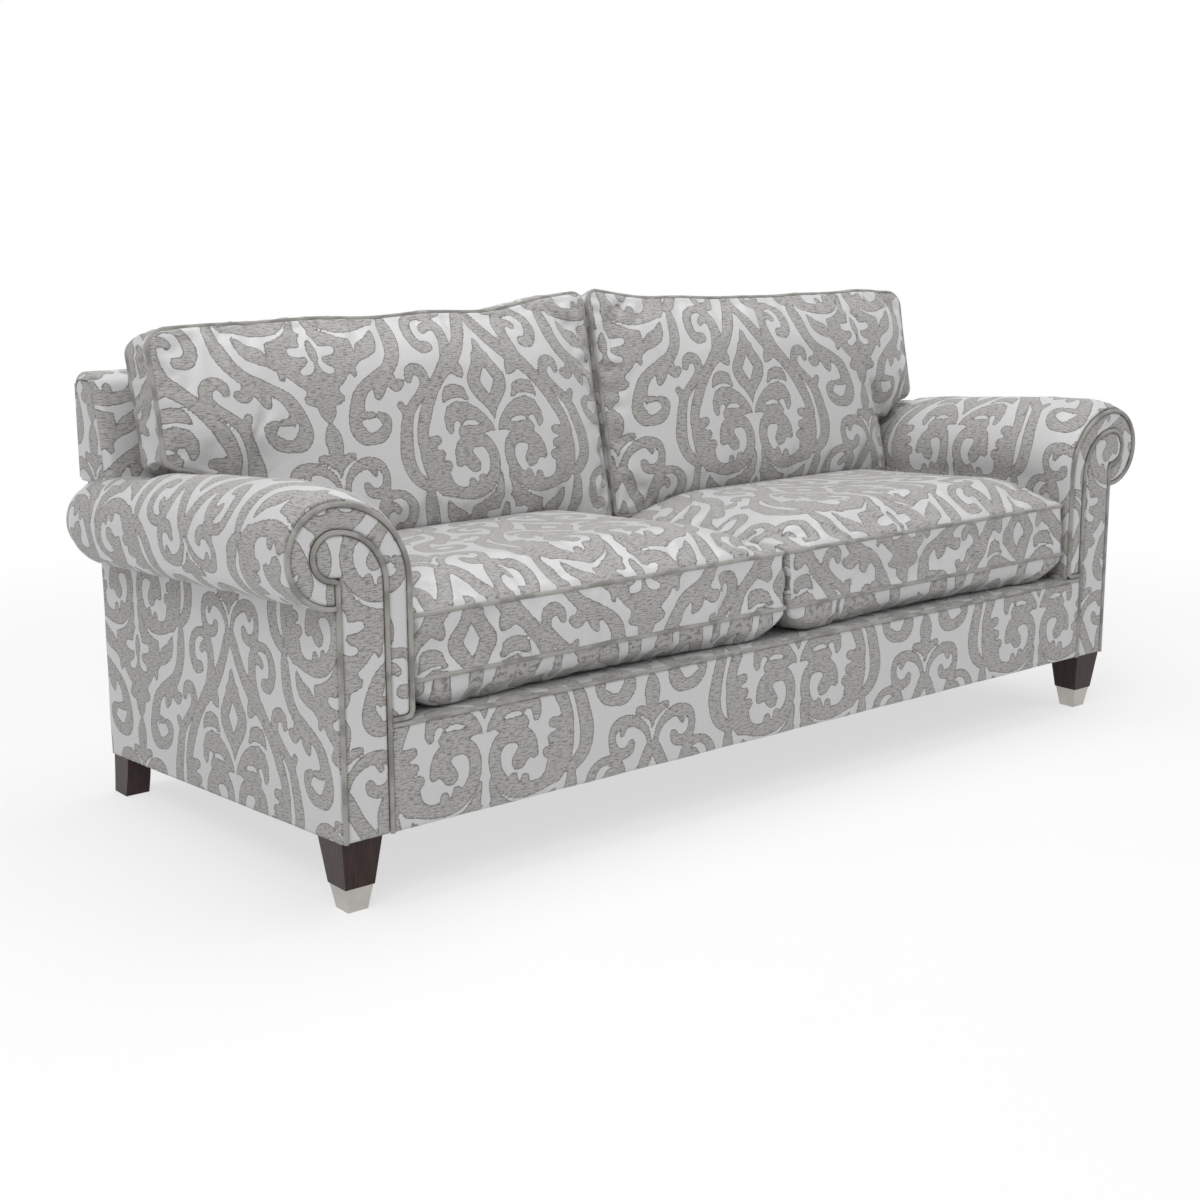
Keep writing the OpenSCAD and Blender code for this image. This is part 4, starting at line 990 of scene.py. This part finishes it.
def under_pressure(points, faces, free, cap):
    """Moves of each point, in mm, when the cover is blown up as cloth with its seams held still."""
    mesh = bpy.data.meshes.new("trial")
    mesh.from_pydata((points / 1000).tolist(), [], faces.tolist())
    trial = bpy.data.objects.new("trial", mesh)
    bpy.context.scene.collection.objects.link(trial)
    seams = trial.vertex_groups.new(name="seams")
    seams.add([int(i) for i in np.flatnonzero(~free)], 1.0, "REPLACE")
    cloth = trial.modifiers.new("cloth", "CLOTH")
    for name, value in COVER_CLOTH.items():
        setattr(cloth.settings, name, value)
    cloth.settings.vertex_group_mass = "seams"
    cloth.settings.effector_weights.gravity = 0
    cloth.collision_settings.use_collision = False
    cloth.collision_settings.use_self_collision = False
    scene = bpy.context.scene
    for step in range(BLOWN_STEPS):
        scene.frame_set(step + 1)
    moved = np.zeros(len(points) * 3, np.float32)
    trial.evaluated_get(bpy.context.evaluated_depsgraph_get()).data.vertices.foreach_get("co", moved)
    scene.frame_set(1)
    bpy.data.objects.remove(trial)
    bpy.data.meshes.remove(mesh)
    move = moved.reshape(-1, 3) * 1000 - points
    size = np.maximum(np.linalg.norm(move, axis=1, keepdims=True), 1e-6)
    return move / size * cap * np.tanh(size / cap) * free[:, None]


def finer(grid, wrap=False):
    """A coarse grid of moves made as fine as the cover."""
    return rounded(rounded(grid, FINER).swapaxes(0, 1), FINER, wrap).swapaxes(0, 1)


class Cushion:
    """A boxed cushion laid out on a grid of columns and rows, in its own frame, less a cut-out corner."""

    def __init__(self, xs, vs, cut, plan, top, bottom, box):
        self.xs = np.array(xs)
        self.vs = np.array(vs)
        self.cut = cut
        self.plan = plan
        self.top = top
        self.bottom = bottom
        self.box = box

    def lines(self, times):
        """The grid's columns and rows, each gap between them split into a number of parts."""
        split = []
        for places in (self.xs, self.vs):
            at = np.arange((len(places) - 1) * times + 1) / times
            split.append(np.interp(at, np.arange(len(places)), places))
        return split

    def loop(self, times):
        """The rim's places in the grid, once round, as (column, row)."""
        nu, nv = (len(self.xs) - 1) * times, (len(self.vs) - 1) * times
        cu, cv = (self.cut[0] * times, self.cut[1] * times) if self.cut else (nu, 0)
        corners = [(0, 0), (cu, 0), (cu, cv), (nu, cv), (nu, nv), (0, nv)]
        walk = []
        for (a, b), (c, d) in zip(corners, corners[1:] + corners[:1]):
            n = max(abs(c - a), abs(d - b))
            walk += [(a + (c - a) * k // n, b + (d - b) * k // n) for k in range(n)]
        return np.array(walk)

    def shape(self, times, rows):
        """The top, the bottom and the boxing as grids, with the rim, its outward ways and its places."""
        xs, vs = self.lines(times)
        x, v = np.meshgrid(xs, vs)
        px, pv = self.plan(x, v)
        up, down = self.top(x, v), self.bottom(x, v)
        walk = self.loop(times)
        column, row = walk.T
        rim = np.column_stack([px[row, column], pv[row, column]])
        ahead = np.roll(rim, -1, 0) - np.roll(rim, 1, 0)
        out = np.column_stack([ahead[:, 1], -ahead[:, 0]]) / np.linalg.norm(ahead, axis=1)[:, None]
        w = np.linspace(self.box - BAND_IN, BAND_IN, rows)
        pull = -1.5 * np.sin(np.pi * (self.box - BAND_IN - w) / (self.box - 2 * BAND_IN))
        band = np.stack([np.column_stack([rim + out * p, np.full(len(rim), h)]) for p, h in zip(pull, w)])
        tops = np.stack([px, pv, self.box + up], -1)
        bottoms = np.stack([px, pv, -down], -1)
        for panel, edge in ((tops, self.box - SEAM_IN), (bottoms, SEAM_IN)):
            panel[row, column, :2] -= PANEL_IN * out
            panel[row, column, 2] = edge
        return tops, bottoms, band, rim, out, walk

    def kept(self, times):
        """Which squares of the grid are cloth."""
        nu, nv = (len(self.xs) - 1) * times, (len(self.vs) - 1) * times
        cells = np.ones((nv, nu), bool)
        if self.cut:
            cells[:self.cut[1] * times, self.cut[0] * times:] = False
        return cells

    def moves(self):
        """How the simulated cover moves, on the coarse grid: for the top, the bottom and the boxing."""
        rows = COARSE_ROWS
        tops, bottoms, band, rim, _, walk = self.shape(1, rows)
        nv, nu = tops.shape[:2]
        quads = grid_faces(nv, nu)[self.kept(1).ravel()]
        count = len(rim)
        k = np.arange(rows * count).reshape(rows, count)
        after = np.roll(k, -1, 1)
        side = np.stack([k[:-1], k[1:], after[1:], after[:-1]], -1).reshape(-1, 4)
        points = np.vstack([tops.reshape(-1, 3), bottoms.reshape(-1, 3), band.reshape(-1, 3)])
        n = nv * nu
        faces = np.vstack([quads, quads[:, ::-1] + n, side + 2 * n])
        free = np.ones(len(points), bool)
        held = walk[:, 1] * nu + walk[:, 0]
        free[held] = free[held + n] = False
        free[2 * n:2 * n + count] = free[-count:] = False
        used = np.zeros(len(points), bool)
        used[faces.ravel()] = True
        free &= used
        number = np.cumsum(used) - 1
        move = np.zeros_like(points)
        move[used] = under_pressure(points[used], number[faces], free[used], BLOWN)
        up, down, around = np.split(move, [n, 2 * n])
        return up.reshape(nv, nu, 3), down.reshape(nv, nu, 3), around.reshape(rows, count, 3)

    def surfaces(self, to_frame, cloth_at, limits):
        """The cover's surfaces and its two cords, blown up, kept within limits and set in the frame."""
        rows = (COARSE_ROWS - 1) * FINER + 1
        tops, bottoms, band, rim, out, _ = self.shape(FINER, rows)
        up, down, around = self.moves()
        tops += finer(up)
        bottoms += finer(down)
        band += finer(around, True)
        limits(tops, bottoms, band)
        nv, nu = tops.shape[:2]
        quads = grid_faces(nv, nu)[self.kept(FINER).ravel()]
        used = np.unique(quads)
        number = np.zeros(nv * nu, int)
        number[used] = np.arange(len(used))
        made = []
        for panel, sign in ((tops, 1), (bottoms, -1)):
            flat = panel.reshape(-1, 3)[used]
            turned = quads if sign > 0 else quads[:, ::-1]
            made.append((to_frame(flat), number[turned], cloth_at(flat, sign)))
        length = lengths(np.vstack([rim, rim[:1]]))
        band = np.concatenate([band, band[:, :1]], 1)
        flat = band.reshape(-1, 3)
        around = np.tile(length + rim[0, 0], rows)
        cloth = cloth_at(np.column_stack([around, np.zeros(len(flat)), flat[:, 2]]), 0)
        made.append((to_frame(flat), grid_faces(rows, band.shape[1])[:, ::-1], cloth))
        cords = []
        for w in (self.box - WELT_T / 2, WELT_T / 2):
            path = np.column_stack([rim + out * (WELT - WELT_T / 2), np.full(len(rim), w)])
            path[:, 2] += 0.6 * ripple(path[:, 0], path[:, 1], 120, 7)
            cords.append(tube(to_frame(path), WELT_T / 2, True))
        return made, cords


def rounded_corner(x, v, cx, cv, sx, sv, r):
    """Moves the points of a square corner on to a round one. sx and sv point outwards."""
    a = np.clip(1 - (cx - x) * sx / r, 0, 1)
    b = np.clip(1 - (cv - v) * sv / r, 0, 1)
    inside = (a > 0) & (b > 0)
    na, nb = a * np.sqrt(1 - b * b / 2), b * np.sqrt(1 - a * a / 2)
    return np.where(inside, x + (na - a) * r * sx, x), np.where(inside, v + (nb - b) * r * sv, v)


def soft_below(values, limit, soft=6.0):
    """Values kept under a limit, easing towards it."""
    over = values - (limit - soft)
    return np.where(over > 0, limit - soft + soft * (1 - np.exp(-over / soft)), values)


def set_in(p, side, foot, along, out):
    """Frame places of a cushion's own (x, v, w). Foot, along and out are (depth, z): its origin, v and w."""
    depth = foot[0] + p[:, 1] * along[0] + p[:, 2] * out[0]
    z = foot[1] + p[:, 1] * along[1] + p[:, 2] * out[1]
    return np.column_stack([side * p[:, 0], depth - MID_Y, z])


seat_z = sloped(RAIL_Z, SEAT_SET) + (FIT + BELLY) / COS_P
seat_d = (back_line(0) + TAN_R * seat_z - SEAT_SET) / (COS_P + TAN_R * SIN_P) - WELT - FIT
seat_x0 = GAP / 2 + WELT
seat_x1 = INNER - GAP / 2 - WELT
cord_plane = seat_z + SEAT_BOX * COS_P + TAN_P * (SEAT_SET + SEAT_BOX * SIN_P)
BACK_BOX = 112
REAR_CROWN = 64
BACK_REST = 33
back_stack = (BACK_BOX + REAR_CROWN + FIT) / COS_R
back_front_z = (cord_plane + BACK_REST - TAN_P * (back_line(0) - back_stack)) / (1 + TAN_P * TAN_R)
back_front_y = back_line(back_front_z) - back_stack
lean = RAKE - PITCH
press_c = (back_front_y - SEAT_SET) * SIN_R + (back_front_z - seat_z) * COS_R - WELT - 2 * FIT


def press_limit(v):
    """Height above the boxing that the back cushion leaves for the seat's top, v back from its front."""
    return (press_c - v * math.sin(lean)) / math.cos(lean) - SEAT_BOX


def seat_limit(v):
    """Height that the seat's top keeps under: free in front of the back cushion, pressed down below it."""
    under = SEAT_BOX + press_limit(np.maximum(v, PRESSED)) - CLEAR
    edge = SEAT_BOX + press_limit(PRESSED) - CLEAR
    risen = PRESS_RISE * np.clip((PRESSED - v) / PRESS_RUN, 0, 1) ** 1.6
    return np.where(v < PRESSED, edge + risen, under)


def edge_pucker(x, v, x0, x1, v0, v1, seed, size):
    """Small tucks square to the seams, fading into the panel."""
    across = np.exp(-np.minimum(v - v0, v1 - v) / 20) * ripple(x, x * 0 + seed, 34, seed)
    along = np.exp(-np.minimum(x - x0, x1 - x) / 20) * ripple(v, v * 0 + seed, 34, seed + 1)
    return size * (across + along)


def pulled(x, v, cx, cv, folds, reach, seed):
    """Creases that fan out from a corner, where the cover is drawn in by the seam."""
    r = np.hypot(x - cx, v - cv)
    turn = np.arctan2(v - cv, x - cx)
    fan = np.sin(folds * turn + seed) + 0.6 * np.sin(1.7 * folds * turn + 2 * seed)
    return np.exp(-r / reach) * (1 - np.exp(-r / 10)) * fan


def held(panels, ceiling, ease, floor, x1):
    """Keeps a cushion's top under a ceiling, its belly over a floor, and its ends near their seams."""
    tops, bottoms, _ = panels
    tops[..., 2] = soft_below(tops[..., 2], ceiling, ease)
    bottoms[..., 2] = -soft_below(-bottoms[..., 2], floor)
    for panel in panels:
        panel[..., 0] = np.clip(panel[..., 0], seat_x0 - LOOSE, x1 + LOOSE)


def sewn(kind, side, cushion, to_frame, cloth_at, limits):
    """Makes a cushion's cover and its two cords, and returns the cover. Side is -1 or 1."""
    hand = "left" if side < 0 else "right"
    body = f"{kind}_cushion_{hand}"
    made, cords = cushion.surfaces(to_frame, cloth_at, limits)
    if side < 0:
        made = [(points, faces[:, ::-1], cloth) for points, faces, cloth in made]
    cover = make_piece(f"{kind}_cushion_cover_{hand}", body, DAMASK, made,
                       [body, f"{kind}_core_{hand}"])
    make_piece(f"{kind}_cushion_piping_{hand}", body, PIPING, cords)
    return cover


SEAT_CORNER = 13
SEAT_DRAWN_IN = 2
SEAT_LINING_U = 200


def seat_cushion(side, seed, u0, v0):
    """One seat cushion. Side is -1 or 1, seed picks its creases, and u0 and v0 place the damask on it."""
    xs, vs = spread(seat_x0, seat_x1, COLUMN), spread(0, seat_d, COLUMN)

    def plan(x, v):
        s, t = (x - seat_x0) / (seat_x1 - seat_x0), v / seat_d
        px, pv = x, v
        for cx, sx in ((seat_x0, -1), (seat_x1, 1)):
            for cv, sv in ((0, -1), (seat_d, 1)):
                px, pv = rounded_corner(px, pv, cx, cv, sx, sv, SEAT_CORNER)
        px = px + SEAT_DRAWN_IN * (1 - 2 * s) * 4 * t * (1 - t)
        return px, pv + SEAT_DRAWN_IN * (1 - 2 * t) * 4 * s * (1 - s)

    def full(x, v):
        inner = dome((x - seat_x0) / 300) ** 0.9
        outer = 0.55 * swell(seat_x1 - x, 60) + 0.45 * dome((seat_x1 - x) / 330)
        return inner * outer * swell(v, 155) ** 0.9 * swell(seat_d - v, 120)

    def top(x, v):
        creases = pulled(x, v, seat_x0, 0, 9, 45, seed) + pulled(x, v, seat_x1, 0, 9, 45, seed + 1)
        rise = SEAT_CROWN * full(x, v) + 1.8 * ripple(x, v, 190, seed) + 1.2 * creases
        return rise + edge_pucker(x, v, seat_x0, seat_x1, 0, seat_d, seed, 1.2)

    def bottom(x, v):
        ends = np.clip(np.minimum(x - seat_x0, seat_x1 - x) / 110, 0, 1)
        edge = np.clip(np.minimum(v, seat_d - v) / 45, 0, 1)
        flat = np.sqrt(np.clip(1 - (1 - ends) ** 2, 0, 1) * np.clip(1 - (1 - edge) ** 2, 0, 1))
        return BELLY * 0.94 * flat + edge_pucker(x, v, seat_x0, seat_x1, 0, seat_d, seed + 5, 1.0)

    def limits(*panels):
        ceiling = np.minimum(BOXING + SEAT_CROWN + 4, seat_limit(panels[0][..., 1]))
        held(panels, ceiling, 5, BELLY - CLEAR, seat_x1)

    def to_frame(p):
        return set_in(p, side, (SEAT_SET, seat_z), (COS_P, -SIN_P), (SIN_P, COS_P))

    def cloth_at(p, face):
        if face == 0:
            return np.column_stack([side * p[:, 0] - u0, v0 - (BOXING - p[:, 2])])
        shift = 0 if face > 0 else SEAT_LINING_U
        return np.column_stack([side * p[:, 0] - u0 + shift, v0 + p[:, 1] * 1.03])

    cushion = Cushion(xs, vs, None, plan, top, bottom, BOXING)
    cover = sewn("seat", side, cushion, to_frame, cloth_at, limits)


seat_cushion(-1, 41, -377, -292)
seat_cushion(1, 47, 347, -306)


# Back cushions: feather-filled and boxed, cut out at the lower outer corner to sit over the arm.
# They lean on the raked back and press softly on the seat.
BACK_CROWN = 52
BACK_H = 510
DRAWN_IN = 5
EAR_THIN = 14
EAR_START = 850
ear_x = HALF_W - GAP
back_foot_y = back_front_y + BACK_BOX * COS_R
back_foot_z = back_front_z - BACK_BOX * SIN_R
notch_v = (ROLL_Z + ROLL_R - TAN_P * back_foot_y + WELT + 1 - back_foot_z) / (COS_R + TAN_P * SIN_R)
# Each corner: its place, the way it points, and its radius
BACK_CORNERS = [(seat_x0, 0, -1, -1, 20), (seat_x1, 0, 1, -1, 20), (ear_x, notch_v, 1, -1, 26),
                (ear_x, BACK_H, 1, 1, 44), (seat_x0, BACK_H, -1, 1, 34)]


def back_creases(x, v, seed, at_notch):
    """Creases that fan out from the corners of a back cushion, at_notch deep where it is cut out."""
    rise = at_notch * pulled(x, v, seat_x1, notch_v, 8, 75, seed)
    rise = rise + 2.5 * pulled(x, v, seat_x0, 0, 9, 60, seed + 1)
    others = [(ear_x, notch_v, 8, 45), (seat_x0, BACK_H, 9, 40), (ear_x, BACK_H, 9, 40), (seat_x1, 0, 9, 50)]
    for k, (cx, cv, folds, reach) in enumerate(others):
        rise = rise + 2.0 * pulled(x, v, cx, cv, folds, reach, seed + 2 + k)
    return rise


def back_cushion(side, seed, u0, v0, sag, slant, crease):
    """One back cushion. Its top edge sags by sag, its damask leans by slant, and crease is for the notch."""
    inner_columns = spread(seat_x0, seat_x1, COLUMN)
    lower_rows = spread(0, notch_v, COLUMN)
    xs = np.concatenate([inner_columns, spread(seat_x1, ear_x, 16)[1:]])
    vs = np.concatenate([lower_rows, spread(notch_v, BACK_H, COLUMN)[1:]])
    cut = (len(inner_columns) - 1, len(lower_rows) - 1)

    def plan(x, v):
        px, pv = x, v
        out = np.clip((x - seat_x1) / (ear_x - seat_x1), 0, 1)
        above = np.clip((v - notch_v) / (BACK_H - notch_v), 0, 1)
        fall = ARM_T - np.sqrt(np.maximum(0, ARM_T ** 2 - np.clip(HALF_W - x, 0, ARM_T) ** 2))
        over_arm = np.minimum(42, 0.75 * fall) * eased(x, seat_x1 - 120, seat_x1)
        over_arm = over_arm * np.where(v < notch_v, v / notch_v, 1 - eased(v, notch_v, notch_v + 190))
        lift = 0.3 * out * (1 - above) - over_arm - above * sag * dome((x - seat_x0) / 400)
        for cx, cv, sx, sv, r in BACK_CORNERS:
            nx, nv = rounded_corner(px, pv, cx, cv, sx, sv, r)
            below = v < notch_v
            px = np.where(below, nx, px) if cx == seat_x1 else nx
            pv = np.where(below, nv, pv) if cx == seat_x1 else nv
        s, t = (x - seat_x0) / (ear_x - seat_x0), v / BACK_H
        wavy = 4.0 * (ripple(x, x * 0, 230, seed) - 0.6) * t ** 3
        return px + DRAWN_IN * (1 - 2 * s) * 4 * t * (1 - t), pv + lift + wavy

    def full(x, v):
        beside, over = np.maximum(seat_x1 - x, 0), np.maximum(v - notch_v, 0)
        reach = SHOULDER - (SHOULDER - 90) * eased(np.arctan2(over, beside), 0, np.pi / 2)
        wide = 0.55 * swell(x - seat_x0) * swell(ear_x - x)
        wide = wide + 0.45 * dome((x - seat_x0) / 470) * dome((ear_x - x) / 470)
        high = swell(v, 90) * (0.7 * swell(BACK_H - v) + 0.3 * dome((BACK_H - v) / 380))
        return wide * high * swell(np.hypot(beside, over), reach)

    def top(x, v):
        uneven = 2.4 * ripple(x, v, 150, seed) + 0.8 * ripple(x, v, 55, seed + 2)
        rise = BACK_CROWN * 0.95 * full(x, v) + uneven + back_creases(x, v, seed, crease)
        return rise + edge_pucker(x, v, seat_x0, ear_x, 0, BACK_H, seed, 1.5)

    def bottom(x, v):
        return REAR_CROWN * 0.97 * full(x, v) ** 0.6

    def limits(*panels):
        held(panels, BACK_BOX + BACK_CROWN + 3, 6, REAR_CROWN, ear_x)

    def to_frame(p):
        p = np.array(p, float)
        p[:, 2] -= EAR_THIN * eased(p[:, 0], EAR_START, ear_x) * np.clip(p[:, 2] / BACK_BOX, 0, 1)
        return set_in(p, side, (back_foot_y, back_foot_z), (SIN_R, COS_R), (-COS_R, SIN_R))

    def cloth_at(p, face):
        if face == 0:
            return np.column_stack([side * p[:, 0] - u0, v0 - (BACK_BOX - p[:, 2])])
        v = v0 + p[:, 1]
        return np.column_stack([side * p[:, 0] - u0 + slant * v + (0 if face > 0 else HALF_REPEAT), v])

    cushion = Cushion(xs, vs, cut, plan, top, bottom, BACK_BOX)
    cover = sewn("back", side, cushion, to_frame, cloth_at, limits)


back_cushion(-1, 53, -331, -320, 38, 0.085, 1.2)
back_cushion(1, 59, 409, -303, 31, 0.0, 4.0)


# Studio: a white floor that keeps the sofa's own shadow under a white sky, three broad soft lights, and a
# camera where the photograph's stood.
FLOOR_R = 9
FLOOR_Z = -0.0005
FLOOR_SIDES = 64
FLOOR_TONES = ((0.90, 0.90, 0.90, 1), (0.93, 0.93, 0.93, 1))
WHITE = (1, 1, 1, 1)


def lamp(name, place, aim, size, power):
    """An oblong light of a size in metres and a power in watts, turned to an aim."""
    data = bpy.data.lights.new(name, "AREA")
    data.shape = "RECTANGLE"
    data.size, data.size_y = size
    data.energy = power
    made = bpy.data.objects.new(name, data)
    made.location = place
    made.rotation_euler = (Vector(aim) - Vector(place)).to_track_quat("-Z", "Y").to_euler()
    bpy.context.scene.collection.objects.link(made)


def seen(nodes):
    """1 where a camera, a mirror or glass looks at the backdrop, 0 where it only lights the object."""
    camera, glossy, clear = (nodes.node("LightPath", {}, {}, f"Is {kind} Ray")
                             for kind in ("Camera", "Glossy", "Transmission"))
    return nodes.math("MAXIMUM", nodes.math("MAXIMUM", camera, glossy), clear)


lamp("key", (-3.3, -2.5, 3.7), (0, 0, 0.5), (2.4, 1.8), 74)
lamp("fill", (3.0, -3.4, 3.3), (0.2, 0, 0.5), (2.4, 2.4), 20)
lamp("top", (0.0, 0.1, 3.8), (0, 0, 0.4), (3.4, 2.2), 62)
world = bpy.data.worlds.new("studio")
world.use_nodes = True
backdrop = Nodes(world.node_tree)
sky = world.node_tree.nodes["Background"]
sky.inputs["Color"].default_value = WHITE
backdrop.feed(sky.inputs["Strength"], 0.5 + 0.5 * seen(backdrop))
bpy.context.scene.world = world

floor = Finish("studio_floor")
sand = floor.noise(floor.place(), 3)
floor.dress(floor.mix(sand, *FLOOR_TONES), 0.85 + 0.05 * sand)
away = floor.node("VectorMath", {"operation": "LENGTH"}, {0: floor.place()}, "Value")
white = floor.node("Emission", {}, {"Color": WHITE, "Strength": 1.0})
matt = Term(floor, floor.shader.outputs[0])
share = seen(floor) * (0.65 + 0.35 * floor.step(away, 1.3, 3.2))
floor.feed(floor.tree.nodes["Material Output"].inputs["Surface"],
           floor.node("MixShader", {}, {0: share, 1: matt, 2: white}))
turns = np.linspace(0, 2 * math.pi, FLOOR_SIDES, endpoint=False)
ring = [(FLOOR_R * math.cos(a), FLOOR_R * math.sin(a), FLOOR_Z) for a in turns]
slices = [(0, k + 1, (k + 1) % FLOOR_SIDES + 1) for k in range(FLOOR_SIDES)]
mesh = bpy.data.meshes.new("studio_floor")
mesh.from_pydata([(0, 0, FLOOR_Z)] + ring, [], slices)
mesh.materials.append(floor.material)
ground = bpy.data.objects.new("studio_floor", mesh)
bpy.context.scene.collection.objects.link(ground)

camera = bpy.data.objects.new("camera", bpy.data.cameras.new("camera"))
camera.location = (-2.5122, -2.9546, 1.1801)
camera.rotation_euler = (math.radians(78.6), 0, math.radians(-40))
camera.data.lens = 54.468
camera.data.sensor_width = 36
camera.data.shift_x = -0.0283
camera.data.shift_y = -0.0258
bpy.context.scene.collection.objects.link(camera)
bpy.context.scene.camera = camera
bpy.context.scene.view_settings.view_transform = "Standard"
